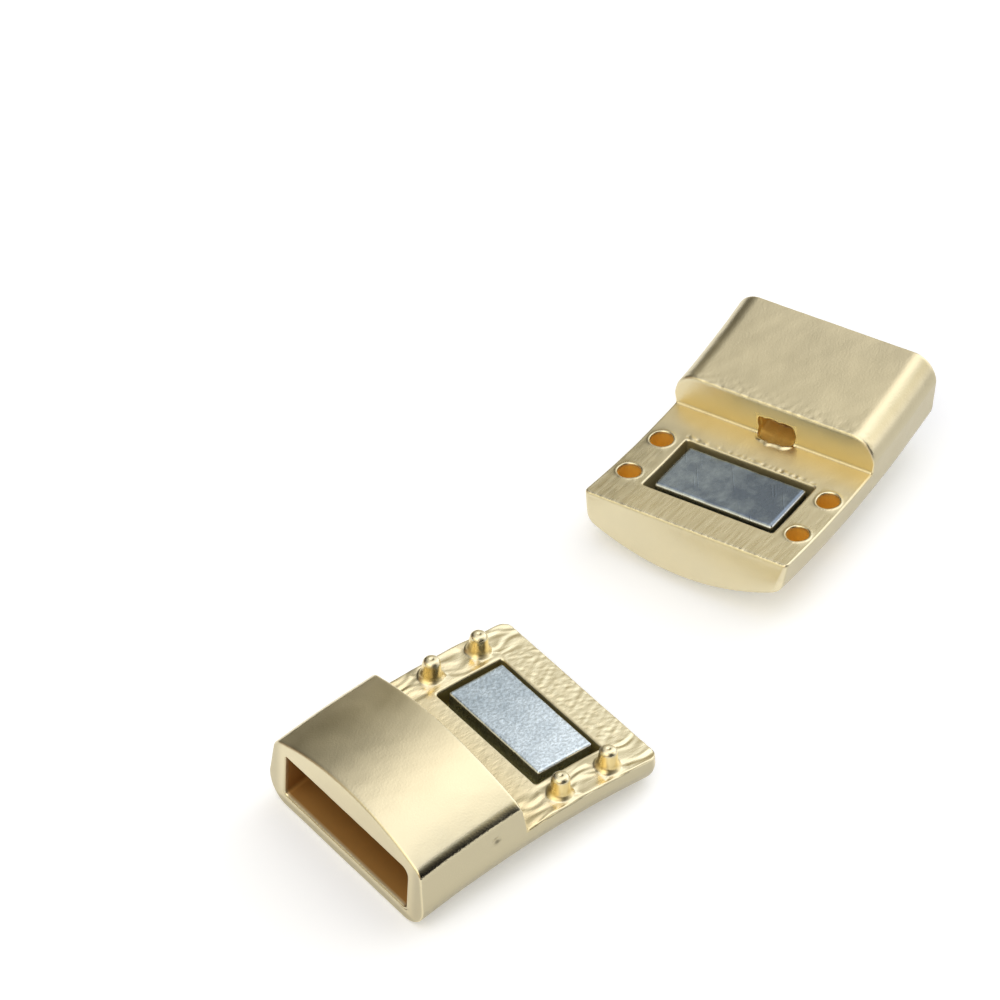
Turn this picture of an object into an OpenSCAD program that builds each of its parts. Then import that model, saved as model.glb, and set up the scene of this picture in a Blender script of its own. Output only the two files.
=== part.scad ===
// Magnetic clasp for a flat strap, lying open as two loose halves.
// Both halves are first made in one closed frame: X along the strap, Y across it and Z away
// from the wrist. The mating surface is a cylinder that bends along X and touches Z = 0.
// Each half is then laid on the floor: the pin half on its hollow inner face, and the socket
// half upside down on its domed outer face. All lengths are in millimetres.

/* [Closed clasp] */
// Width across the strap
width = 14; // [13:0.5:20]
// Length of the closed clasp along the strap
length = 25; // [23:0.5:32]
// Radius of the arc that the mating surface follows along the strap
arc_r = 52; // [40:1:90]
// Thickness from the mating surface to the inner face
inner_t = 2.2; // [2.1:0.1:3]
// Thickness from the mating surface to the shoulders of the dome
shoulder_t = 1.95; // [1.9:0.05:3]
// Rise of the dome from its shoulders to its crown
dome_rise = 1.4; // [1:0.1:2]
// How far each side leans in on its way up to the shoulder
side_lean = 0.35; // [0:0.05:0.4]
// Radius of the long edges of the inner face
edge_r = 1.6; // [0.8:0.1:1.8]

/* [Overlap] */
// Length of the overlap between the two steps
overlap = 10; // [9:0.25:12]
// Lean of the outer step, in degrees
outer_draft = 12; // [0:1:15]
// Lean of the inner step, in degrees
inner_draft = 3; // [0:1:8]
// Gap between the mating faces, and at the outer step, when closed
fit_gap = 0.1; // [0.05:0.05:0.2]
// Gap at the inner step when closed
notch_gap = 0.2; // [0.1:0.05:0.6]
// Corner radius of the pin half's tongue
tongue_corner_r = 0.8; // [0.2:0.1:1.2]

/* [Strap slots] */
// Width of each slot
slot_w = 11.1; // [10:0.1:12]
// Height of each slot
slot_h = 2.95; // [2:0.05:3]
// Wall between a slot and the inner face
slot_floor = 0.8; // [0.6:0.05:1.2]
// Wall between the end of a slot and the step beside it
step_wall = 1.4; // [1:0.1:2]

/* [Core opening] */
// Width of the opening through the socket half's step
opening_w = 2.5; // [1.5:0.1:4]
// Height of that opening below the mating surface
opening_h = 1.2; // [0.8:0.05:1.3]
// Depth to which its sill is cut into the mating surface
sill_depth = 0.3; // [0.1:0.05:0.5]
// Length of the sill in front of the step
sill_len = 0.35; // [0.1:0.05:0.6]

/* [Pins and holes] */
// Diameter of a pin at its foot
pin_d = 1.2; // [1:0.05:1.3]
// Diameter of a pin at its rounded tip
pin_tip_d = 0.95; // [0.7:0.05:1]
// Height of a pin over the mating surface
pin_h = 1.3; // [0.8:0.05:1.5]
// Distance between the two pins on one side, along the strap
pin_pitch = 3.5; // [2.5:0.1:5]
// Distance between the pins on both sides, across the strap
pin_span = 11.6; // [11.3:0.1:11.8]
// Clearance around a pin in its hole
pin_clearance = 0.08; // [0.05:0.01:0.15]
// Clearance under the tip of a pin in its hole
tip_clearance = 0.15; // [0.1:0.05:0.3]

/* [Magnets] */
// Length of each magnet, across the strap
magnet_w = 8; // [6:0.1:8.4]
// Width of each magnet, along the strap
magnet_l = 3.9; // [3:0.1:5]
// Thickness of each magnet
magnet_t = 1.5; // [1:0.05:1.5]
// Bevel of a magnet's upper edges
magnet_bevel = 0.2; // [0.05:0.05:0.3]
// Gap between a magnet and each wall of its pocket
pocket_gap = 0.5; // [0.3:0.05:0.6]
// Gap under a magnet, which the glue fills
seat_gap = 0.05; // [0.02:0.01:0.08]
// Height of the pin half's magnet over the mating surface
magnet_proud = 0.1; // [0:0.05:0.1]
// Depth of the socket half's magnet below the mating surface
magnet_sunk = 0.1; // [0.1:0.05:0.15]
// How far the pin half's magnet sits off its pocket's middle, towards the tongue's end
magnet_shift = 0.15; // [0:0.05:0.2]

/* [Lying halves] */
// Distance from the pin half to the socket half, along the strap
halves_apart = 21.3; // [21:0.1:40]
// Distance of the socket half to one side of the pin half's line
halves_aside = 5.9; // [0:0.1:12]
// Turn of the socket half on the floor, in degrees
socket_turn = 17.3; // [0:0.1:30]
// Tilt of the socket half along its dome, block end down, in degrees
socket_pitch = 3.5; // [0:0.1:6]
// Tilt of the socket half to one side on its dome, in degrees
socket_bank = 5; // [0:0.1:8]
// Shift of both halves along the strap, which centres the pair over the origin
centre_x = -0.8; // [-5:0.1:5]
// Shift of both halves across the strap, which centres the pair over the origin
centre_y = -1.8; // [-5:0.1:5]

/* [Hidden] */
$fn = 96;
// Facets of the preview's long curves, where $fn would be too coarse
dome_facets = 180;
arc_facets = 360;

gold = [0.84, 0.76, 0.55];
silver = [0.78, 0.81, 0.85];

crown_t = shoulder_t + dome_rise;
half_shoulder = width / 2 - side_lean;
dome_r = (half_shoulder ^ 2 + dome_rise ^ 2) / (2 * dome_rise);
end_x = length / 2;
step_x = overlap / 2;
tongue_end_x = step_x - notch_gap;
slot_r = arc_r - inner_t + slot_floor;
pin_pocket_d = magnet_t + seat_gap - magnet_proud;
socket_pocket_d = magnet_t + seat_gap + magnet_sunk;
hole_d = pin_d + 2 * pin_clearance;

// Cuts and sketches reach a clasp's length past the solid that they shape
past = length;
// Cuts overlap what they open into by this much
bite = 0.5;

// Height of the arc of radius r at x, measured from the mating surface's top
function arc_z(r, x) = sqrt(r ^ 2 - x ^ 2) - arc_r;

// Section of the closed clasp: distance from the arc's axis, then distance across the strap
module section() {
    translate([arc_r, 0])
        intersection() {
            translate([crown_t - dome_r, 0]) circle(dome_r, $fn = dome_facets);
            union() {
                side_flanks();
                inner_floor();
            }
        }
}

// The leaning sides, from the rounded inner edges up past the dome
module side_flanks() {
    foot = edge_r - inner_t;
    lean = side_lean / (shoulder_t - foot);
    top = crown_t + bite;
    top_half = width / 2 - lean * (top - foot);
    polygon([
        [foot, -width / 2],
        [foot, width / 2],
        [top, top_half],
        [top, -top_half],
    ]);
}

// The inner face with its rounded long edges
module inner_floor() {
    flat_half = width / 2 - edge_r;
    translate([-inner_t, -flat_half]) square([edge_r + bite, 2 * flat_half]);
    for (side = [-1, 1])
        translate([edge_r - inner_t, side * flat_half]) circle(edge_r);
}

// The section carried round the arc's axis, cut off square at the clasp's two ends
module bent_bar() {
    intersection() {
        translate([0, 0, -arc_r])
            rotate([90, 0, 0])
                rotate_extrude($fn = arc_facets) section();
        translate([-end_x, -past, -past]) cube([length, 2 * past, 2 * past]);
    }
}

// A shape drawn from the side, X along the strap and Y upwards, made wide across it
module across(wide = 2 * past) {
    rotate([90, 0, 0]) linear_extrude(wide, center = true) children();
}

// Side view of everything below the arc of radius r
module below_arc(r) {
    translate([0, -arc_r]) circle(r, $fn = arc_facets);
}

// Side view of all that lies beyond a leaning step, on the side that toward points to
module beyond_step(x, draft, toward) {
    lean = past * tan(draft);
    far_x = toward * (end_x + past);
    polygon([
        [far_x, -past],
        [x + lean, -past],
        [x - lean, past],
        [far_x, past],
    ]);
}

// The room over the pin half's tongue, which the socket half's tongue fills when closed
module room_over_tongue() {
    across()
        difference() {
            beyond_step(-step_x, outer_draft, 1);
            below_arc(arc_r - fit_gap / 2);
        }
}

// The room under the socket half's tongue, which the pin half's tongue fills when closed
module room_under_tongue() {
    across()
        intersection() {
            beyond_step(step_x, inner_draft, -1);
            below_arc(arc_r + fit_gap / 2);
        }
}

// Plan of the pin half, with the round corners of its tongue
module pin_half_plan() {
    back = tongue_end_x - tongue_corner_r;
    translate([-end_x, -width / 2]) square([end_x + back, width]);
    translate([0, tongue_corner_r - width / 2])
        square([tongue_end_x, width - 2 * tongue_corner_r]);
    for (side = [-1, 1])
        translate([back, side * (width / 2 - tongue_corner_r)]) circle(tongue_corner_r);
}

// A strap slot that follows the arc in from the clasp's end, at x = side * end_x
module strap_slot(side) {
    inner_x = step_x + step_wall;
    across(slot_w)
        intersection() {
            difference() {
                below_arc(slot_r + slot_h);
                below_arc(slot_r);
            }
            translate([side > 0 ? inner_x : -end_x - bite, -past])
                square([end_x + bite - inner_x, 2 * past]);
        }
}

// The four places that the pins and their holes share
module at_pins() {
    for (x = [-1, 1], y = [-1, 1])
        translate([x * pin_pitch / 2, y * pin_span / 2, arc_z(arc_r, pin_pitch / 2)])
            children();
}

module pin() {
    ball_z = pin_h - pin_tip_d / 2;
    translate([0, 0, -bite]) cylinder(h = bite, d = pin_d);
    cylinder(h = ball_z, d1 = pin_d, d2 = pin_tip_d);
    translate([0, 0, ball_z]) sphere(d = pin_tip_d);
}

module pin_hole() {
    translate([0, 0, -bite]) cylinder(h = pin_h + tip_clearance + bite, d = hole_d);
}

// A magnet's pocket, depth deep from the mating surface at z = 0 and open upwards
module pocket(depth) {
    size = [magnet_l + 2 * pocket_gap, magnet_w + 2 * pocket_gap];
    translate([-size.x / 2, -size.y / 2, -depth]) cube([size.x, size.y, depth + bite]);
}

// A long side of the magnet, with its upper corners bevelled
module bevelled(wide) {
    polygon([
        [-wide / 2, 0],
        [wide / 2, 0],
        [wide / 2, magnet_t - magnet_bevel],
        [wide / 2 - magnet_bevel, magnet_t],
        [magnet_bevel - wide / 2, magnet_t],
        [-wide / 2, magnet_t - magnet_bevel],
    ]);
}

// A magnet standing on z = 0
module magnet() {
    intersection() {
        across() bevelled(magnet_l);
        rotate([0, 0, 90]) across() bevelled(magnet_w);
    }
}

// The pin half in the closed frame: block at -X, tongue under the mating surface
module pin_half_closed() {
    difference() {
        intersection() {
            bent_bar();
            translate([0, 0, -past]) linear_extrude(2 * past) pin_half_plan();
        }
        room_over_tongue();
        strap_slot(-1);
        translate([0, 0, -fit_gap / 2]) pocket(pin_pocket_d);
    }
    at_pins() pin();
}

// The socket half in the closed frame: block at +X, tongue over the mating surface
module socket_half_closed() {
    difference() {
        bent_bar();
        across() beyond_step(fit_gap - step_x, outer_draft, -1);
        room_under_tongue();
        strap_slot(1);
        at_pins() pin_hole();
        translate([0, 0, fit_gap / 2]) mirror([0, 0, 1]) pocket(socket_pocket_d);
        core_opening();
    }
}

// The opening from the socket half's slot through its step, with its sill
module core_opening() {
    foot_z = arc_z(arc_r, step_x);
    translate([step_x - sill_len, -opening_w / 2, foot_z - opening_h])
        cube([sill_len + step_wall + bite, opening_w, opening_h + sill_depth]);
}

module pin_half_magnet_closed() {
    translate([magnet_shift, 0, magnet_proud - magnet_t - fit_gap / 2]) magnet();
}

module socket_half_magnet_closed() {
    translate([0, 0, magnet_sunk + magnet_t + fit_gap / 2]) mirror([0, 0, 1]) magnet();
}

// Lays the pin half down on the two ends of its inner face
module lay_pin_half() {
    inner_r = arc_r - inner_t;
    block_foot = [-end_x, arc_z(inner_r, end_x)];
    tongue_foot = [tongue_end_x, arc_z(inner_r, tongue_end_x)];
    run = tongue_foot - block_foot;
    pitch = atan2(run.y, run.x);
    translate([centre_x - halves_apart / 2 - end_x, centre_y - halves_aside / 2, 0])
        rotate([0, pitch, 0])
            translate([end_x, 0, -block_foot.y])
                children();
}

// Lays the socket half down on its dome, mating face up and resting on the crown. Its tilts
// swing it about the arc's axis, high above, and back is how far they carry its middle off.
module lay_socket_half() {
    ring_r = arc_r + crown_t - dome_r;
    axis_z = ring_r * cos(socket_bank) + dome_r;
    back = arc_r * [sin(socket_pitch), cos(socket_pitch) * sin(socket_bank)];
    translate([centre_x + halves_apart / 2, centre_y + halves_aside / 2, axis_z])
        rotate([0, 0, socket_turn])
            translate(back)
                rotate([-socket_bank, 0, 0])
                    rotate([0, socket_pitch, 0])
                        rotate([180, 0, 0])
                            translate([0, 0, arc_r])
                                children();
}

module pin_half() {
    color(gold) lay_pin_half() pin_half_closed();
}

module socket_half() {
    color(gold) lay_socket_half() socket_half_closed();
}

module pin_half_magnet() {
    color(silver) lay_pin_half() pin_half_magnet_closed();
}

module socket_half_magnet() {
    color(silver) lay_socket_half() socket_half_magnet_closed();
}

pin_half();
socket_half();
pin_half_magnet();
socket_half_magnet();
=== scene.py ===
"""Looks of an open magnetic clasp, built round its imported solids.

The clasp lies open as two loose castings, each with a bar magnet glued into its mating face.
Sizes are in millimetres until a mesh is placed. A casting is worked out in a frame of its own:
a runs from its block to its tongue, y across it, and rho up out of the stepped face.
The closed frame, that of both halves when they are joined, follows from it by one sign, and
the floor's frame from that by a turn.
"""

import logging
import math
from dataclasses import dataclass, field
from enum import Enum
from typing import Sequence

import bmesh
import bpy
import numpy as np
from mathutils import Matrix, Quaternion, Vector


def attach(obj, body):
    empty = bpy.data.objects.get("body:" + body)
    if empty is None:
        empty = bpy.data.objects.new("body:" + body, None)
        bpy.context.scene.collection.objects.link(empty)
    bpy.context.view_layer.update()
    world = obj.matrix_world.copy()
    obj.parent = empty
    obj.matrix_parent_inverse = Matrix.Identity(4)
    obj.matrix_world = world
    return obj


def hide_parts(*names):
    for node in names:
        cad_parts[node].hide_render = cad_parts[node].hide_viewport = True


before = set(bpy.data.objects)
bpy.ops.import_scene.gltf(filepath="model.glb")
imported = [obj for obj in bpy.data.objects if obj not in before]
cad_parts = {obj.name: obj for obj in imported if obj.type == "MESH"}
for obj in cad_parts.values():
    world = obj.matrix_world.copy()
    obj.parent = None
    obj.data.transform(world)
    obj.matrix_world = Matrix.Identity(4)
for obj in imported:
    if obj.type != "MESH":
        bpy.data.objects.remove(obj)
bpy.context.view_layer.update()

LOG = logging.getLogger("clasp")
MM = 0.001
QUARTER = math.pi / 2
ALONG = np.array([1.0, 0, 0])

Array = np.ndarray
Pair = tuple[float, float]
Triple = tuple[float, float, float]
Outline = tuple[Array, Array]
Shares = dict[str, Array]
Socket = bpy.types.NodeSocket


# Small maths


def spaced(stops: Sequence[float], step: float) -> Array:
    """Numbers from the first stop to the last, at most step apart, with each stop among them.

    Args:
        stops: Numbers in rising order.
        step: The widest distance between neighbours.

    Returns:
        The numbers, in rising order.
    """
    spans = [
        np.linspace(low, high, max(1, math.ceil((high - low) / step)) + 1)[:-1]
        for low, high in zip(stops, stops[1:])
    ]
    return np.concatenate([*spans, [stops[-1]]])


def nearest(values: Array, wanted: float) -> int:
    """The number of the value that lies nearest to the wanted one."""
    return int(np.argmin(np.abs(values - wanted)))


def smooth(low: float, high: float, value: Array) -> Array:
    """Rises smoothly from 0 at low to 1 at high, by 3s^2 - 2s^3 of the share s between them."""
    share = np.clip((value - low) / (high - low), 0, 1)
    return share * share * (3 - 2 * share)


def bell(*offsets: Array) -> Array:
    """A smooth bump, 1 where every offset is 0: exp of less the sum of their squares."""
    return np.exp(-sum(offset**2 for offset in offsets))


def turned(axis: int, degrees: float) -> Array:
    """The matrix that turns about one axis.

    Args:
        axis: 0 for X, 1 for Y and 2 for Z.
        degrees: How far it turns.

    Returns:
        The matrix, 3 x 3.
    """
    cosine, sine = math.cos(math.radians(degrees)), math.sin(math.radians(degrees))
    first, second = (axis + 1) % 3, (axis + 2) % 3
    matrix = np.eye(3)
    matrix[first, first] = matrix[second, second] = cosine
    matrix[first, second], matrix[second, first] = -sine, sine
    return matrix


def rounded_edge(t: Array, half: float, radius: float | Array) -> Outline:
    """A flat face seen from its end, with a quarter circle down at both edges.

    Going by length along the line, it is flat up to half - radius, and then
    (half - radius + radius sin w, radius - radius cos w) for w from 0 to a right angle.

    Args:
        t: Shares of the way from the middle to an edge, -1 to 1.
        half: Half of the face's width.
        radius: Radius of the quarter circles, or one for each t.

    Returns:
        The place across, and how far the line has dropped.
    """
    flat = half - radius
    reach = np.abs(t) * (flat + radius * QUARTER)
    angle = np.clip(reach - flat, 0, None) / radius
    across = np.minimum(reach, flat) + radius * np.sin(angle)
    return np.sign(t) * across, radius * (1 - np.cos(angle))


def corner(before: Array, at: Array, after: Array, radius: float, count: int) -> Array:
    """Rounds many corners at once, each with an arc that touches both of its legs.

    The arc's centre lies on the corner's bisector at radius / cos(bend / 2), and the arc is the
    slerp between the two spokes to the points where it touches.

    Args:
        before: Points before the corners, one row each.
        at: The corners.
        after: Points after them.
        radius: The arcs' radius.
        count: Points on each arc.

    Returns:
        The arcs, as an array of count x corners x 3.
    """
    way_in, way_out = at - before, after - at
    way_in /= np.linalg.norm(way_in, axis=1, keepdims=True)
    way_out /= np.linalg.norm(way_out, axis=1, keepdims=True)
    bend = np.arccos(np.clip((way_in * way_out).sum(1), -1, 1))[:, None]
    bisector = way_out - way_in
    bisector /= np.linalg.norm(bisector, axis=1, keepdims=True)
    centre = at + bisector * radius / np.cos(bend / 2)
    cut = radius * np.tan(bend / 2)
    spoke_in, spoke_out = at - cut * way_in - centre, at + cut * way_out - centre
    share = np.linspace(0, 1, count)[:, None, None]
    swung = np.sin((1 - share) * bend) * spoke_in + np.sin(share * bend) * spoke_out
    return centre + swung / np.sin(bend)


def between(first: Array, last: Array, shares: Array) -> Array:
    """Straight steps from one row of points to another: first + share (last - first)."""
    return first + shares[:, None, None] * (last - first)


def over_edge(
    loop: Array, spoke: Array, radius: float, start: float, way: int, turn: Array
) -> Array:
    """Carries a loop of points over a rounded edge.

    At the angle w it lies radius (1 - cos w) out along its spokes, and at
    start + way radius (1 - sin w) along a.

    Args:
        loop: The loop's points, all with a = 0.
        spoke: The way in which each point moves, as a unit vector.
        radius: The edge's radius.
        start: Where the edge ends, along a.
        way: 1 or -1, for the side of the start on which the edge lies.
        turn: The angles.

    Returns:
        Rows x loop x (a, y, rho), with a row for each angle.
    """
    angle = turn[:, None, None]
    along = start + way * (radius * (1 - np.sin(angle)))
    return loop + spoke * radius * (1 - np.cos(angle)) + ALONG * along


def outward(loop: Array) -> Array:
    """Normals of a closed loop in the y, rho plane, from each point's two neighbours.

    Args:
        loop: The loop's points, one row each.

    Returns:
        The unit normals, one row each.
    """
    along = np.roll(loop, -1, axis=0) - np.roll(loop, 1, axis=0)
    normal = np.stack([np.zeros(len(loop)), -along[:, 2], along[:, 1]], axis=1)
    return normal / np.linalg.norm(normal, axis=1, keepdims=True)


def box_ring(points: Array, half_a: float, half_y: float, radius: float) -> Array:
    """Puts points on a rectangle whose corners are round, by the nearest way from its core.

    With c the point held inside the core, which is the rectangle less the radius on each side,
    the result is c + radius (p - c) / |p - c|.

    Args:
        points: Points a, y on or round a sharp rectangle about the origin.
        half_a: Half of the rectangle's size along a.
        half_y: Half of its size along y.
        radius: Radius of its corners.

    Returns:
        The points on the rectangle.
    """
    core = np.array([half_a - radius, half_y - radius])
    scaled = points / np.abs(points).max(axis=0) * [half_a, half_y]
    held = np.clip(scaled, -core, core)
    spoke = scaled - held
    return held + radius * spoke / np.linalg.norm(spoke, axis=1, keepdims=True)


def at_height(spots: Array, rho: float) -> Array:
    """Points a, y at one height, as rows of a, y and rho."""
    return np.column_stack([spots, np.full(len(spots), rho)])


@dataclass(frozen=True)
class Waves:
    """Smooth unevenness: the sum of plane waves that run in random directions.

    The seed sets their directions, lengths and phases, length is the typical wavelength or one
    for each axis, and height is about the largest value of their sum.
    """

    seed: int
    length: float | Triple
    count: int = 28
    height: float = 1.0
    spread: Pair = (0.6, 1.5)

    def at(self, points: Array) -> Array:
        """The unevenness: height times the sum of sin(k . p + phase) over the root of the count.

        Args:
            points: Points in millimetres, one row each.

        Returns:
            A number for each point, mostly between -height and height.
        """
        random = np.random.default_rng(self.seed)
        way = random.normal(size=(self.count, 3))
        way /= np.linalg.norm(way, axis=1, keepdims=True)
        pace = random.uniform(*self.spread, (self.count, 1)) / np.broadcast_to(self.length, 3)
        phase = random.uniform(0, 2 * math.pi, self.count)
        total = np.sin(points @ (2 * math.pi * way * pace).T + phase).sum(axis=1)
        return self.height * (total / math.sqrt(self.count))


# Wavelength along rho for relief in a level face, so long that height hardly counts
LEVEL = 50.0


def lift(shares: Shares, where: Array | bool, **values: Array | float) -> None:
    """Raises the named shares to these values where a mask holds."""
    for name, value in values.items():
        shares[name] = np.where(where, np.maximum(shares[name], value), shares[name])


# Meshes


@dataclass
class Skin:
    """Gathers surfaces that share their borders, and welds them into one mesh."""

    points: list[Array] = field(default_factory=list)
    faces: list[Array] = field(default_factory=list)
    caps: list[Array] = field(default_factory=list)
    count: int = 0
    decimals: int = 6
    sliver: float = 1e-5
    tie: float = 1e-9

    def add(self, points: Array) -> Array:
        """Takes in points.

        Args:
            points: Points in a grid of any shape.

        Returns:
            Their numbers, in the same shape.
        """
        flat = points.reshape(-1, 3)
        numbers = np.arange(len(flat)).reshape(points.shape[:-1]) + self.count
        self.points.append(flat)
        self.count += len(flat)
        return numbers

    def sheet(self, points: Array, wrap: bool = False, skip: Array | None = None) -> Array:
        """Adds a grid of points as quads whose outside is the rows' way times the columns' way.

        Args:
            points: The grid, rows x columns x 3.
            wrap: Whether the last column joins the first.
            skip: Quads that are left out, as a grid of booleans.

        Returns:
            The points' numbers, as a grid.
        """
        numbers = self.add(points)
        closed = np.concatenate([numbers, numbers[:, :1]], axis=1) if wrap else numbers
        sides = [closed[:-1, :-1], closed[1:, :-1], closed[1:, 1:], closed[:-1, 1:]]
        quads = np.stack(sides, axis=-1)
        self.faces.append(quads.reshape(-1, 4) if skip is None else quads[~skip])
        return numbers

    def cap(self, ring: Array) -> None:
        """Closes a ring of point numbers with one flat face."""
        self.caps.append(ring)

    def join(self, outer: Array, inner: Array, centre: Array) -> None:
        """Fills the flat band between two rings of different counts with triangles.

        Both rings run the same way round the centre. Each step on either ring, taken in the
        order of its angle, makes one triangle with the point that the other ring has reached.

        Args:
            outer: Numbers of the outer ring's points.
            inner: Numbers of the inner ring's points.
            centre: A point inside both rings.
        """
        cloud = np.concatenate(self.points)
        rings, angles = [], []
        for ring in (outer, inner):
            spoke = cloud[ring] - centre
            angle = np.mod(np.arctan2(spoke[:, 1], spoke[:, 2]), 2 * math.pi)
            first = int(np.argmin(angle))
            rings.append(np.roll(ring, -first))
            angles.append(np.roll(angle, -first))
        for own, other in ((0, 1), (1, 0)):
            ahead = np.roll(angles[own], -1) + self.tie * (own == 0)
            reached = np.searchsorted(angles[other], ahead)
            reached[-1] = len(rings[other])
            tip = rings[other][(reached - 1) % len(rings[other])]
            rows = np.stack([rings[own], np.roll(rings[own], -1), tip], axis=1)
            self.faces.append(rows[:, ::-1] if own else rows)

    def mesh(self, name: str) -> bpy.types.Mesh:
        """Welds points that lie in one place and makes the mesh, its faces turned outwards.

        Args:
            name: The mesh's name.

        Returns:
            The mesh.
        """
        cloud = np.round(np.concatenate(self.points), self.decimals) + 0.0
        kept, numbers = np.unique(cloud, axis=0, return_inverse=True)
        numbers = numbers.reshape(-1)
        rings = [ring[None] for ring in self.caps]
        polygons = [numbers[rows] for rows in (*self.faces, *rings)]
        corners = np.concatenate([rows.reshape(-1) for rows in polygons])
        totals = np.concatenate([np.full(len(rows), rows.shape[1]) for rows in polygons])
        starts = np.concatenate([[0], np.cumsum(totals)[:-1]])
        made = bpy.data.meshes.new(name)
        made.vertices.add(len(kept))
        made.vertices.foreach_set("co", kept.astype(np.float32).ravel())
        made.loops.add(len(corners))
        made.loops.foreach_set("vertex_index", corners.astype(np.int32))
        made.polygons.add(len(totals))
        made.polygons.foreach_set("loop_start", starts.astype(np.int32))
        made.update(calc_edges=True)
        made.validate()
        work = bmesh.new()
        work.from_mesh(made)
        bmesh.ops.dissolve_degenerate(work, dist=self.sliver, edges=work.edges)
        bmesh.ops.recalc_face_normals(work, faces=work.faces)
        work.to_mesh(made)
        work.free()
        made.polygons.foreach_set("use_smooth", np.ones(len(made.polygons), bool))
        return made


def read_points(mesh: bpy.types.Mesh) -> tuple[Array, Array]:
    """Reads where a mesh's vertices are.

    Args:
        mesh: The mesh.

    Returns:
        The vertices' places and their normals, one row each.
    """
    places, normals = (np.empty(len(mesh.vertices) * 3, np.float32) for _ in range(2))
    mesh.vertices.foreach_get("co", places)
    mesh.vertex_normals.foreach_get("vector", normals)
    return places.reshape(-1, 3).astype(float), normals.reshape(-1, 3).astype(float)


def write_points(mesh: bpy.types.Mesh, places: Array) -> None:
    """Puts a mesh's vertices at these places."""
    mesh.vertices.foreach_set("co", places.astype(np.float32).ravel())
    mesh.update()


def write_share(mesh: bpy.types.Mesh, name: str, values: Array) -> None:
    """Keeps one number for each vertex on the mesh, for its material to read."""
    kept = mesh.attributes.new(name, "FLOAT", "POINT")
    kept.data.foreach_set("value", values.astype(np.float32))


def placed_object(name: str, mesh: bpy.types.Mesh) -> bpy.types.Object:
    """Puts a finished mesh into the scene, its object at the origin.

    Args:
        name: The object's name.
        mesh: The mesh.

    Returns:
        The object.
    """
    made = bpy.data.objects.new(name, mesh)
    bpy.context.scene.collection.objects.link(made)
    return made


# Both halves


@dataclass(frozen=True)
class ClaspSizes:
    """Sizes that both halves share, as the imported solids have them."""

    width: float = 14.0
    length: float = 25.0
    arc_r: float = 52.0
    inner_t: float = 2.2
    shoulder_t: float = 1.95
    dome_rise: float = 1.4
    side_lean: float = 0.35
    edge_r: float = 1.6
    step_a: float = -5.0
    slot_w: float = 11.1
    slot_h: float = 2.95
    slot_floor: float = 0.8
    slot_end_a: float = -6.4
    fit_gap: float = 0.1
    pin_pitch: float = 3.5
    pin_span: float = 11.6
    shoulder_rounds: int = 6

    @property
    def crown_t(self) -> float:
        """Thickness from the mating surface to the dome's crown."""
        return self.shoulder_t + self.dome_rise

    @property
    def dome_r(self) -> float:
        """Radius of the dome, seen from its end."""
        half = self.width / 2 - self.side_lean
        return (half**2 + self.dome_rise**2) / (2 * self.dome_rise)

    @property
    def flank_foot(self) -> float:
        """Height over the mating surface at which the flanks meet the round inner edges."""
        return self.edge_r - self.inner_t

    @property
    def slope(self) -> float:
        """How far a flank leans in for each millimetre of height."""
        return self.side_lean / (self.shoulder_t - self.flank_foot)

    def half_width(self, height: float | Array) -> float | Array:
        """Half of the clasp's width at a height over the mating surface."""
        return self.width / 2 - self.slope * (height - self.flank_foot)

    def arc_z(self, height: Array | float, x: Array | float) -> Array | float:
        """Height in the closed frame of a point at x, so high over the mating surface's arc."""
        return np.sqrt((self.arc_r + height) ** 2 - np.square(x)) - self.arc_r

    def dome_outline(self, t: Array, radius: float) -> Outline:
        """The outer face seen from its end, with round shoulders that run into the flanks.

        By length along it, it is the dome's circle up to where the shoulder's circle touches it
        from inside, and then that circle until it touches the leaning flank.

        Args:
            t: Shares of the way from the crown to a flank, -1 to 1.
            radius: Radius of the shoulders.

        Returns:
            The place across, and the height over the mating surface.
        """
        middle = self.crown_t - self.dome_r
        height = self.shoulder_t
        for _ in range(self.shoulder_rounds):
            across = self.half_width(height) - radius * math.hypot(1, self.slope)
            height = middle + math.sqrt((self.dome_r - radius) ** 2 - across**2)
        touch = math.atan2(across, height - middle)
        flank = math.atan2(1, self.slope)
        reach = np.abs(t) * (self.dome_r * touch + radius * (flank - touch))
        on_dome = np.minimum(reach / self.dome_r, touch)
        turn = touch + np.clip(reach - self.dome_r * touch, 0, None) / radius
        past = reach > self.dome_r * touch
        y = np.where(past, across + radius * np.sin(turn), self.dome_r * np.sin(on_dome))
        dome = middle + self.dome_r * np.cos(on_dome)
        return np.sign(t) * y, np.where(past, height + radius * np.cos(turn), dome)

    def inner_outline(self, t: Array) -> Outline:
        """The inner face seen from its end: place across, and height over the mating surface."""
        across, rise = rounded_edge(t, self.width / 2, self.edge_r)
        return across, rise - self.inner_t


SIZES = ClaspSizes()


@dataclass(frozen=True)
class Lying:
    """How a half lies on the floor: a turn of the closed frame and then a shift."""

    turn: Array
    shift: Array

    def carry(self, places: Array) -> Array:
        """Carries points of the closed frame to where the half lies."""
        return places @ self.turn.T + self.shift


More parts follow.
